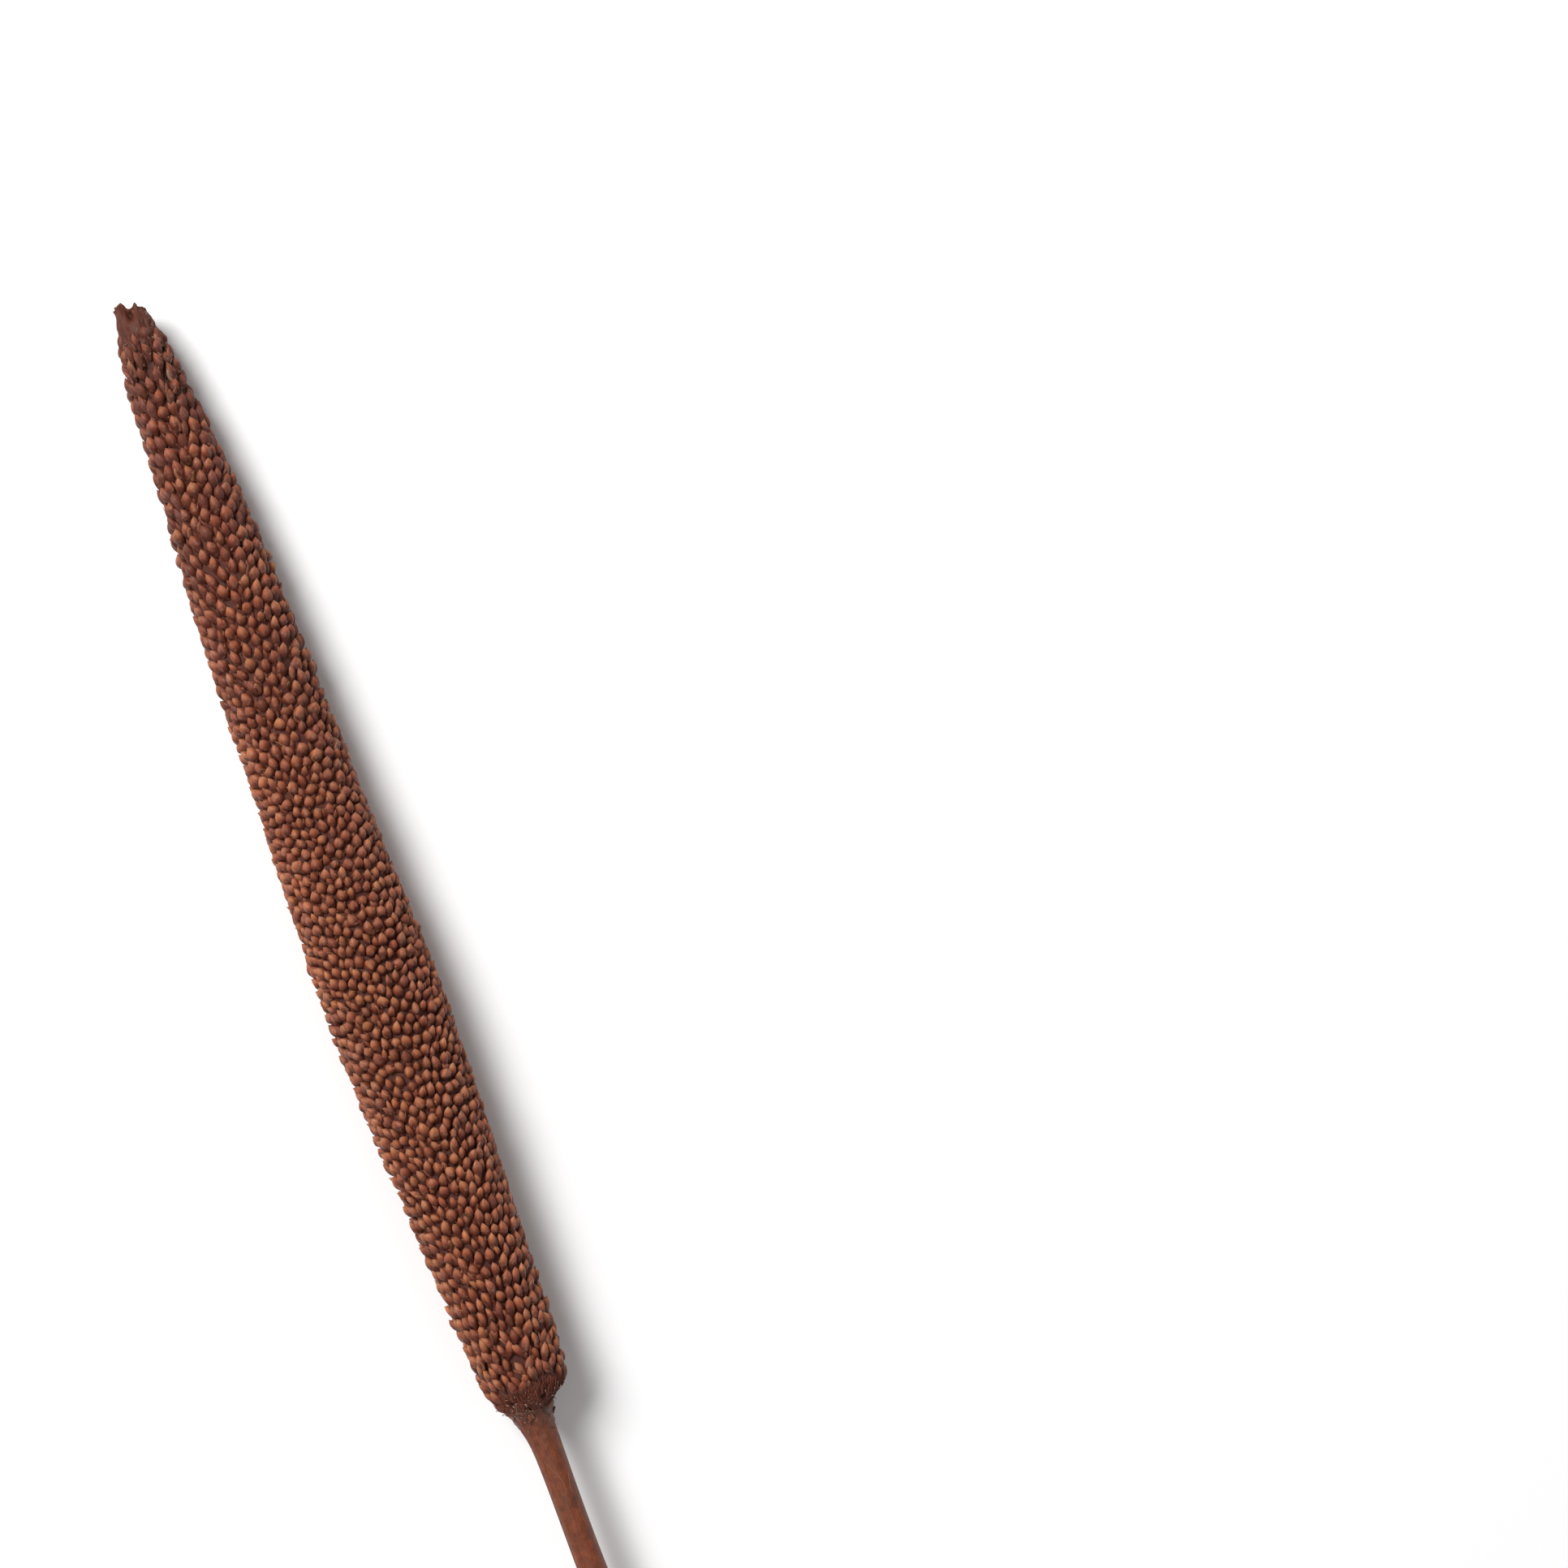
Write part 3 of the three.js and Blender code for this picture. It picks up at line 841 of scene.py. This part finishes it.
def stalk_material():
    """A dry mottled stem. data holds: along it, two for the direction round it, rough neck."""
    blotch_colour = (0.13, 0.042, 0.018)
    spot_colour = (0.06, 0.019, 0.011)
    speck_colour = (0.4, 0.22, 0.14)
    n = Nodes("stalk")
    along, round_x, round_y, neck = n.data()
    streaks_at = n.vector(
        n.product(round_x, 5.5),
        n.product(round_y, 5.5),
        n.product(along, 9.0),
    )
    streaks = n.noise(3.2, 5, streaks_at, 0.62)
    body = n.ramp(
        streaks,
        [(0.3, (0.11, 0.0216, 0.0053)), (0.5, (0.172, 0.036, 0.0088)), (0.7, (0.235, 0.054, 0.0135))],
    )
    mottle = n.noise(650, 4, roughness=0.6)
    body = n.times(body, n.spread(mottle, 0.72, 1.28, 0.3, 0.7))
    dust = n.noise(3000, 3)
    body = n.times(body, n.spread(dust, 0.85, 1.15, 0.3, 0.7))
    blotches, spots, specks = n.noise(95, 4), n.noise(330, 4), n.noise(1300, 2)
    body = n.mix(n.spread(blotches, 0, 0.55, 0.5, 0.68), body, blotch_colour)
    body = n.mix(n.spread(spots, 0, 0.6, 0.58, 0.7), body, spot_colour)
    body = n.mix(n.spread(specks, 0, 0.35, 0.7, 0.8), body, speck_colour)
    rough = n.noise(900, 4, roughness=0.65)
    neck_colour = n.ramp(
        rough,
        [(0.35, (0.03, 0.01, 0.006)), (0.6, (0.14, 0.04, 0.02)), (0.8, (0.3, 0.115, 0.06))],
    )
    body = n.mix(neck, body, neck_colour)
    cut = n.spread(along, 0, 1, 1, 1.02)
    pith = n.noise(3600, 3)
    pith_colour = n.ramp(
        pith,
        [(0.35, (0.26, 0.14, 0.07)), (0.5, (0.4, 0.25, 0.14)), (0.7, (0.52, 0.35, 0.21))],
    )
    body = n.mix(cut, body, pith_colour)
    height = n.sums("ADD", streaks, n.product(rough, n.spread(neck, 0.15, 2.5)))
    height = n.sums("ADD", height, n.product(pith, cut))
    return n.finish(body, n.spread(streaks, 0.42, 0.66), 0.5, height, 0.5, 0.12 * MM)


GRAIN = grain_material()
CORE = core_material()
# Each with its colours at the root, the tip and the rim, and its roughness
BRISTLE = dry_material("bristle", (0.11, 0.03, 0.015), (0.25, 0.085, 0.04), (0.2, 0.07, 0.035), 0.6)
FELT = dry_material("felt", (0.12, 0.028, 0.015), (0.27, 0.079, 0.043), (0.24, 0.072, 0.038), 0.65)
SCALE = dry_material("scale", (0.15, 0.043, 0.02), (0.3, 0.12, 0.062), (0.36, 0.17, 0.1), 0.55)
PALE = dry_material("pale", (0.2, 0.09, 0.05), (0.42, 0.26, 0.18), (0.52, 0.37, 0.28), 0.55)
WITHERED = dry_material(
    "withered", (0.066, 0.0147, 0.0066), (0.118, 0.03, 0.015), (0.15, 0.046, 0.025), 0.6
)
HAIR = dry_material("hair", (0.26, 0.12, 0.065), (0.36, 0.2, 0.12), (0.36, 0.2, 0.12), 0.5)
STALK = stalk_material()


def arc(turn, direction, radius=3 * MM):
    """Distance round a circle from a direction in degrees"""
    return (np.mod(turn - math.radians(direction) + math.pi, TAU) - math.pi) * radius


def pit_depth(s, turn, pit_s, pit_turn, size):
    """How deep a pit is at a point round it, from 0 to 1"""
    across = arc(turn, pit_turn, head_radius(s))
    return np.exp(-((s - pit_s * MM) ** 2 + across**2) / (size * 0.75 * MM) ** 2)


def in_pits(s, turn):
    return sum(pit_depth(s, turn, *pit) for pit in PITS)


def head_core():
    """The stem and chaff that the grains are rooted in, with the pits at its base"""
    sides = 96
    near_base = np.linspace(-0.6, 9, 52) * MM
    the_rest = np.linspace(10 * MM, HEAD_LENGTH - 5 * MM, 130)
    s = np.concatenate([near_base, the_rest])
    turn = even_turns(sides)
    radius = base_radius(s[:, None], turn) - table(CORE_DEPTH, s)[0][:, None] * MM
    radius = radius * (1 + rng.normal(0, 0.014, radius.shape))
    radius = radius - CORE_PIT_DEPTH * np.minimum(1, in_pits(s[:, None], turn))
    radius = np.maximum(radius, 2 * MM)
    centres = head_axis(np.concatenate([[s[0]], s, [s[-1] - 3 * MM]]))[None]
    side_y, side_z = np.eye(3)[1:, None]
    offset_y = (radius * np.cos(turn))[None]
    offset_z = (radius * np.sin(turn))[None]
    data = np.zeros((1, len(s) + 2, 1, 4))
    made = tubes(centres, side_y, side_z, offset_y, offset_z, data)
    mesh_piece("head_core", *made, CORE, "grain", "seed_head")


def head_grains():
    """All the spikelets, in one piece for each stretch of the head, and the scales beside them"""
    s, turn, splay, width = spikelet_places()
    stands = []
    low = 0
    for name, high in STRETCHES:
        here = (s >= low * HEAD_LENGTH) & (s < high * HEAD_LENGTH)
        stand = Stand(s[here], turn[here], splay[here], width[here])
        mesh_piece(name, *spikelets(stand), GRAIN, "grain", "seed_head")
        stands.append(stand)
        low = high
    gap_s, gap_turn = gap_places(s, turn)
    count = len(gap_s)
    gap_width = GAP_WIDTH * rng.normal(1, 0.14, count)
    gap_depth = table(GAP_DEPTH, gap_s)[0] * MM
    small = Stand(gap_s, gap_turn, rng.normal(0, 0.1, count), gap_width, gap_depth)
    mesh_piece("grains_in_gaps", *spikelets(small, GAP_SIDES), GRAIN, "grain", "seed_head")
    side_scales("scales_lower", stands[:3], 0.4, SCALE)
    side_scales("scales_upper", stands[3:], 0.6, SCALE)
    side_scales("scales_pale", stands[4:], 0.16, PALE, on_side=0.5)


def side_scales(name, stands, share, material, on_side=-1):
    """The dry scales that hold a spikelet's lower half from the side.
    A large on_side keeps those on the head's -Y side only."""
    parts = []
    for stand in stands:
        for sign in (-1, 1):
            some = (rng.random(len(stand.s)) < share) & (-np.cos(stand.turn) > on_side)
            count = some.sum()
            aim, back, side = stand.aim[some], stand.back[some], sign * stand.side[some]
            length, width = stand.length[some], stand.width[some]
            root = stand.root[some] + aim * (0.2 * length)[:, None] + side * (0.36 * width)[:, None]
            face = side + rng.uniform(0.1, 0.7, count)[:, None] * back
            toward = unit(aim + side * rng.uniform(-0.02, 0.16, count)[:, None])
            length = length * rng.uniform(0.5, 0.72, count)
            width = width * rng.uniform(0.6, 0.9, count)
            curl = rng.normal(0.02, 0.06, count)
            parts.append(blades(root, toward, face, length, width, cup=0.45, curl=curl, thick=0.11 * MM))
    mesh_piece(name, *joined(parts), material, "grain")


def flakes(name, root, turn, across, drift, tilt, length, width, curl, thick):
    """A piece of pale bits of dry skin that lie every way on the head. across is how far they turn
    from along it, drift how far they turn to the tip, tilt how unevenly they lie. length and width
    are the least and the most in mm."""
    count = len(turn)
    aim = unit(rng.normal(0, 1, (count, 3)) * (1, across, across) + drift * ALONG)
    points, corners, sizes, data = blades(
        root,
        aim,
        outward(turn) + rng.normal(0, tilt, (count, 3)),
        length=rng.uniform(*length, count) * MM,
        width=rng.uniform(*width, count) * MM,
        cup=rng.uniform(0, 0.5, count),
        curl=rng.normal(0, curl, count),
        thick=thick,
    )
    mesh_piece(name, tip_slanted(points), corners, sizes, data, PALE, "grain")


def joined(parts):
    """Several meshes' points, corners, sizes and data as one"""
    points, corners, sizes, data = zip(*parts)
    first = np.cumsum([0] + [len(part) for part in points])
    corners = [part + start for part, start in zip(corners, first)]
    return [np.concatenate(column) for column in (points, corners, sizes, data)]


def smooth_noise(rows, columns, passes_along, passes_round):
    """Even noise on the rings of a tube, smoothed along and round it, of size 1"""
    made = rng.normal(0, 1, (rows, columns))
    for _ in range(passes_along):
        made[1:-1] = (made[:-2] + 2 * made[1:-1] + made[2:]) / 4
    for _ in range(passes_round):
        made = (np.roll(made, 1, 1) + 2 * made + np.roll(made, -1, 1)) / 4
    return made / made.std()


def tip_slanted(points):
    """The tip's end pushed further along on its +Y side"""
    s = points[..., 0] - BASE[0]
    side = points[..., 1] - head_axis(s)[..., 1]
    part = np.clip((s - SLANT_START) / SLANT_REACH, 0, 1.1) ** 2
    points[..., 0] += TIP_SLANT * part * side
    return points


def tip_sheath():
    """The withered sheath of the tip: folded, with a torn rim, a hollow end and a pit near the end"""
    sides = 144
    turn = even_turns(sides)
    s = np.linspace(TIP_START, TIP_END, 80)
    teeth = 0
    for direction, height, width in TEETH:
        teeth = teeth + height * MM * np.exp(-np.abs(arc(turn, direction) / (width * MM)) ** 1.6)
    sink_at, sink = np.array(TIP_SINK).T * MM
    folds = 0
    for height, along, around in TIP_FOLDS:
        folds = folds + height * MM * smooth_noise(len(s), sides, along, around)
    out = (head_radius(s) - np.interp(s, sink_at, sink))[:, None]
    out = out + folds * np.interp(s, [FOLDS_FADE, TIP_END], [1, 0.5])[:, None]
    out = out - TIP_PIT_DEPTH * np.minimum(1, 1.3 * pit_depth(s[:, None], turn, *TIP_PIT))
    rise = np.clip((s - TEETH_START) / (TIP_END - TEETH_START), 0, 1)[:, None] ** 2
    s = s[:, None] + teeth * rise
    # Two more rings turn inwards from the rim.
    inner = out[-1] * np.array([0.8, 0.55])[:, None]
    inner_s = TIP_END + np.array([[-0.3], [-1.5]]) * MM + teeth * np.array([[0.7], [0]])
    s = np.concatenate([s, inner_s])
    out = np.concatenate([out, inner])
    points = head_point(s, turn, out)
    ends = head_axis(np.array([TIP_START, TIP_END - 2 * MM]))
    points = pressed(tip_slanted(np.concatenate([points.reshape(-1, 3), ends])))
    values = np.zeros((len(points), 4))
    values[:, 0] = np.append(np.repeat(np.linspace(0.2, 1, len(s)), sides), [0, 1])
    values[:, 1] = 0.5
    values[:, 3] = sunk(points)
    corners, face_sizes = tube_faces(len(s), sides)
    mesh_piece("tip_sheath", points, corners, face_sizes, values, WITHERED, "grain")


def tip_scales():
    """Withered scales that lie on the sheath, clear of its pit"""
    parts = []
    for count, end_at, width in TIP_SCALES:
        turn = (np.arange(count) + 0.5 + rng.normal(0, 0.1, count)) / count * TAU
        turn = turn + math.radians(TIP_PIT[1])
        end = end_at * MM + rng.normal(0, 0.5, count) * MM
        length = rng.uniform(4, 6.5, count) * MM
        root = under_outline(end - length, turn, 1.1 * MM)
        point = under_outline(end, turn + rng.normal(0, 0.12, count), 0.3 * MM)
        made = blades(
            root,
            unit(point - root),
            outward(turn),
            length=np.linalg.norm(point - root, axis=1),
            width=width * rng.uniform(0.75, 1.1, count) * MM,
            cup=0.35,
            curl=rng.normal(0.02, 0.02, count),
            thick=rng.uniform(0.4, 0.7, count) * MM,
            tone=rng.uniform(0.15, 0.6, count),
            rings=8,
            sides=10,
            point=3,
        )
        parts.append(made)
    points, corners, sizes, data = joined(parts)
    mesh_piece("tip_scales", tip_slanted(points), corners, sizes, data, WITHERED, "grain")


def tip_shreds():
    """Pale shreds of dry skin on one side of the sheath"""
    count = 70
    s = rng.uniform(214, 229, count) * MM
    turn = np.radians(rng.normal(142, 24, count))
    root = under_outline(s, turn, rng.uniform(0, 0.35, count) * MM)
    sizes = {"length": (0.4, 1.3), "width": (0.07, 0.2), "thick": 0.07 * MM}
    flakes("tip_shreds", root, turn, across=0.5, drift=0.8, tilt=0.5, curl=0.3, **sizes)


def head_bristles():
    """Bristles in the gaps between the grains, just under their tops"""
    count = 2400
    s = rng.uniform(9 * MM, HEAD_LENGTH - 6 * MM, count)
    turn = rng.uniform(0, TAU, count)
    aim = aimed(s, turn, table(STANCE, s)[0] + rng.normal(-2, LEAN_SPREAD, count), 0.16)
    top = under_outline(s, turn, rng.uniform(0.15, 0.8, count) * MM)
    length = rng.uniform(1.6, 3.2, count) * MM
    root = top - aim * length[:, None]
    strands("bristles", BRISTLE, root, aim, length, bow=0.08, thick=(0.1, 0.2))


def base_felt():
    """The felt of short fibres under the lowest pairs of spikelets"""
    tries = 2900
    s = rng.uniform(-0.6, 3.8, tries) * MM
    turn = rng.uniform(0, TAU, tries)
    clear = (in_pits(s + 0.8 * MM, turn) < 0.2) & (in_pits(s + 2 * MM, turn) < 0.3)
    s, turn = s[clear], turn[clear]
    count = len(s)
    root = head_point(s, turn, base_radius(s, turn) - rng.uniform(0.5, 1.3, count) * MM)
    steady_s = np.maximum(s, 1.2 * MM)
    aim = aimed(steady_s, turn, rng.normal(80, 6, count), 0.14)
    length = rng.uniform(1.3, 2.8, count) * MM
    out = skin_frame(steady_s, turn)[2]
    root = root - out * over_outline(root + aim * length[:, None], turn)[:, None]
    shape = {"sides": 4, "blunt": 0.35}
    strands("base_felt", FELT, root, aim, length, bow=0.05, thick=(0.1, 0.26), toward=-0.08 * out, **shape)


def neck_stubs():
    """Stubs of broken stems round the neck"""
    tries = 90
    s = rng.uniform(-3, 2.6, tries) * MM
    turn = rng.uniform(0, TAU, tries)
    clear = in_pits(s, turn) < 0.4
    s, turn = s[clear], turn[clear]
    count = len(s)
    radius = np.where(s < 0, neck_radius(-s, turn), base_radius(s, turn) - 0.7 * MM)
    root = head_point(s, turn, radius - 0.5 * MM)
    lift = outward(turn) * rng.uniform(0.25, 0.9, count)[:, None]
    aim = unit(lift + ALONG + rng.normal(0, 0.25, (count, 3)))
    length = rng.uniform(1, 2.2, count) * MM
    shape = {"rings": 4, "sides": 7, "blunt": 0.6}
    strands("neck_stubs", FELT, root, aim, length, bow=0.1, thick=(0.3, 0.75), **shape)


def pale_chips():
    """Pale chips of dry skin where the neck enters the head"""
    on_neck, on_base = 70, 40
    s = np.concatenate([rng.normal(-0.5, 1.9, on_neck), rng.uniform(1, 4, on_base)]) * MM
    turn = rng.uniform(0, TAU, len(s))
    radius = np.where(s < 0, neck_radius(-s, turn) + 0.1 * MM, base_radius(s, turn) - 0.2 * MM)
    root = head_point(s, turn, radius)
    sizes = {"length": (0.3, 0.9), "width": (0.12, 0.36), "thick": 0.08 * MM}
    flakes("pale_chips", root, turn, across=0.6, drift=0, tilt=0.4, curl=0.2, **sizes)


def neck_flaps():
    """Flaps of dry skin that stand up from the neck"""
    down, direction, length, width, tone = np.array(FLAPS).T
    turn = np.radians(direction)
    start = -down * MM
    flaps = blades(
        head_point(start, turn, neck_radius(-start, turn) - 0.1 * MM),
        unit(ALONG + 0.34 * outward(turn)),
        outward(turn),
        length=length * MM,
        width=width * MM,
        cup=0.25,
        curl=0.05,
        thick=0.35 * MM,
        tone=tone,
        rings=8,
        sides=10,
    )
    mesh_piece("neck_flaps", *flaps, SCALE, "grain")


def pale_fuzz():
    """A few whitish hairs between the grains, most of them near the tip"""
    count = 360
    near_tip = HEAD_LENGTH - rng.exponential(22, count) * MM
    s = np.where(rng.random(count) < 0.55, near_tip, rng.uniform(0, HEAD_LENGTH, count))
    s = np.clip(s, 9 * MM, HEAD_LENGTH - 4 * MM)
    turn = rng.uniform(0, TAU, count)
    aim = aimed(s, turn, table(STANCE, s)[0] + rng.normal(0, 12, count), 0.35)
    root = under_outline(s, turn, 1.2 * MM)
    length = rng.uniform(1.0, 1.9, count) * MM
    strands("pale_fuzz", PALE, root, aim, length, bow=0.25, thick=(0.05, 0.1), rings=4)


def waves(angle, low, high, size):
    """A smooth uneven wave round a circle"""
    total = np.zeros_like(angle)
    for k in range(low, high):
        total += rng.normal(0, size) * np.cos(k * angle + rng.uniform(0, TAU))
    return total


def stalk_skin():
    """The stalk with its fine ribs, its knobbly neck and its cut face"""
    sides = 64
    turn = even_turns(sides)
    buried = np.array([-9, -5]) * MM
    neck_rows = np.linspace(-0.5, 14, 70) * MM
    long_rows = np.linspace(14.3, STALK_LENGTH / MM, 170) * MM
    down = np.concatenate([buried, neck_rows, long_rows])
    real_turn = math.pi - turn
    radius = neck_radius(down[:, None], real_turn)
    radius[:2] -= np.array([[0.6], [0.3]]) * MM
    rib_size = 0.0028
    first_ribs = waves(turn, 9, 22, rib_size)
    last_ribs = waves(turn, 5, 18, rib_size)
    mix = (down / STALK_LENGTH)[:, None]
    twisted = 0.01 * np.sin(down[:, None] * 190 + 2 * turn)
    section = 1 + (1 - mix) * first_ribs + mix * last_ribs + twisted
    knobs = smooth_noise(len(down), sides, 6, 1)
    neck = np.exp(-np.maximum(down, 0) / (3.2 * MM))
    out = radius * section + 0.25 * MM * knobs * neck[:, None]
    out = out - NECK_PIT_DEPTH * np.minimum(1, in_pits(-down[:, None], real_turn))
    face, sunk_by = np.array(CUT_FACE).T
    rings = len(face)
    face_out = out[-1] * face[:, None] * (1 + rng.normal(0, 0.015, (rings, sides)))
    out = np.concatenate([out, face_out])
    axis = stalk_axis(down)
    tangent = unit(np.gradient(axis, axis=0))
    axis = np.concatenate([axis, axis[-1] - tangent[-1] * (sunk_by * MM)[:, None]])
    tangent = np.concatenate([tangent, np.repeat(tangent[-1:], rings, 0)])
    side = unit(np.cross([0.0, 0.0, 1.0], tangent))  # towards -Y
    up = np.cross(tangent, side)
    skin = axis[:, None] + (out * np.cos(turn))[..., None] * side[:, None]
    skin = skin + (out * np.sin(turn))[..., None] * up[:, None]
    points = np.concatenate([skin.reshape(-1, 3), axis[:1], axis[-1:]])
    data = np.zeros((len(axis), sides, 4))
    cut_rows = [1.02, 1.1, 1.1, 1.1]
    data[..., 0] = np.concatenate([down / STALK_LENGTH, cut_rows])[:, None]
    data[..., 1] = np.cos(turn)
    data[..., 2] = np.sin(turn)
    data[..., 3] = np.concatenate([neck, np.zeros(rings)])[:, None]
    values = np.concatenate([data.reshape(-1, 4), data[0, :1], data[-1, :1]])
    corners, sizes = tube_faces(len(axis), sides)
    mesh_piece("stalk_skin", points, corners, sizes, values, STALK, "stalk", "stalk")


def stalk_hairs():
    """Fine pale hairs lying on the stalk's upper side"""
    thickest = 0.055 * MM
    sides = 5
    parts = []
    for route in STALK_HAIRS:
        down, off = (spline(route, 26) * MM).T
        turn = np.arccos(off / stalk_radius(down))
        radius = neck_radius(down, turn) + 0.05 * MM
        centres = stalk_axis(down)
        centres[:, 1] += radius * np.cos(turn)
        centres[:, 2] += radius * np.sin(turn)
        aim = unit(np.gradient(centres, axis=0))[1:-1]
        side = unit(np.cross(aim, [0.0, 0.0, 1.0]))
        up = np.cross(side, aim)
        angle = even_turns(sides)[:, None]
        thick = thickest * np.sin(np.linspace(0.3, math.pi - 0.5, len(aim))) ** 0.5
        section = np.cos(angle) * -side[:, None] + np.sin(angle) * -up[:, None]
        rings = centres[1:-1, None] + thick[:, None, None] * section
        points = np.concatenate([rings.reshape(-1, 3), centres[:1], centres[-1:]])
        data = np.zeros((len(points), 4))
        data[:, 0] = 0.7
        data[:, 1] = 0.4
        parts.append((points, *tube_faces(len(aim), sides), data))
    mesh_piece("stalk_hairs", *joined(parts), HAIR, "stalk")


def camera():
    """Looks straight down. The photograph shows the head leaning, with its tip at the upper left."""
    image_side = 1932
    head_pixels = 1443.8
    tip_pixel = (159, 377)
    lean = math.radians(20.3)
    tip_side = 0.2 * MM
    lens, sensor = 85, 36
    pixel = HEAD_LENGTH / head_pixels
    right = np.array([-math.sin(lean), -math.cos(lean), 0])
    up = np.array([math.cos(lean), -math.sin(lean), 0])
    from_centre = (np.array(tip_pixel) - image_side / 2) * pixel
    tip = BASE + np.array([HEAD_LENGTH, tip_side, 0])
    aim = tip - right * from_centre[0] + up * from_centre[1]
    data = bpy.data.cameras.new("camera")
    data.lens = lens
    data.sensor_width = sensor
    made = placed("camera", data)
    height = HEAD_RADIUS - PRESSED + image_side * pixel * lens / sensor
    axes = np.stack([right, up, np.cross(right, up)], 1)
    made.matrix_world = Matrix.Translation((aim[0], aim[1], height)) @ Matrix(axes.tolist()).to_4x4()
    bpy.context.scene.camera = made
    return right, up


def area_light(name, place, target, size, power):
    data = bpy.data.lights.new(name, "AREA")
    data.shape = "SQUARE"
    data.size = size
    data.energy = power
    made = placed(name, data)
    made.location = place
    made.rotation_euler = (Vector(target) - Vector(place)).to_track_quat("-Z", "Y").to_euler()


def studio(right, up):
    """A pale floor, a soft key light from the upper left of the picture, and a white surround"""
    mesh = bpy.data.meshes.new("floor")
    half = 3
    corners = [(-half, -half, 0), (half, -half, 0), (half, half, 0), (-half, half, 0)]
    mesh.from_pydata(corners, [], [(0, 1, 2, 3)])
    floor = placed("floor", mesh)
    floor.location.z = -0.02 * MM
    n = Nodes("floor")
    n.shader.inputs["Base Color"].default_value = (0.98, 0.98, 0.98, 1)
    n.shader.inputs["Roughness"].default_value = 0.9
    mesh.materials.append(n.material)
    middle = head_axis(HEAD_LENGTH / 2)
    away = 3
    key = middle + away * (0.35 * up - 0.38 * right) + np.array([0, 0, 2.25])
    area_light("key", key, middle, size=1.3, power=76)
    fill = middle + away * (0.3 * right - 0.35 * up) + np.array([0, 0, 2.6])
    area_light("fill", fill, middle, size=2.4, power=4)
    world = bpy.data.worlds.new("surround")
    world.use_nodes = True
    background = world.node_tree.nodes["Background"]
    background.inputs["Color"].default_value = (1, 1, 1, 1)
    background.inputs["Strength"].default_value = 0.31
    scene = bpy.context.scene
    scene.world = world
    scene.view_settings.view_transform = "Standard"
    scene.view_settings.look = "None"


head_core()
head_grains()
tip_sheath()
tip_scales()
tip_shreds()
head_bristles()
base_felt()
neck_stubs()
pale_chips()
neck_flaps()
pale_fuzz()
stalk_skin()
stalk_hairs()
image_right, image_up = camera()
studio(image_right, image_up)
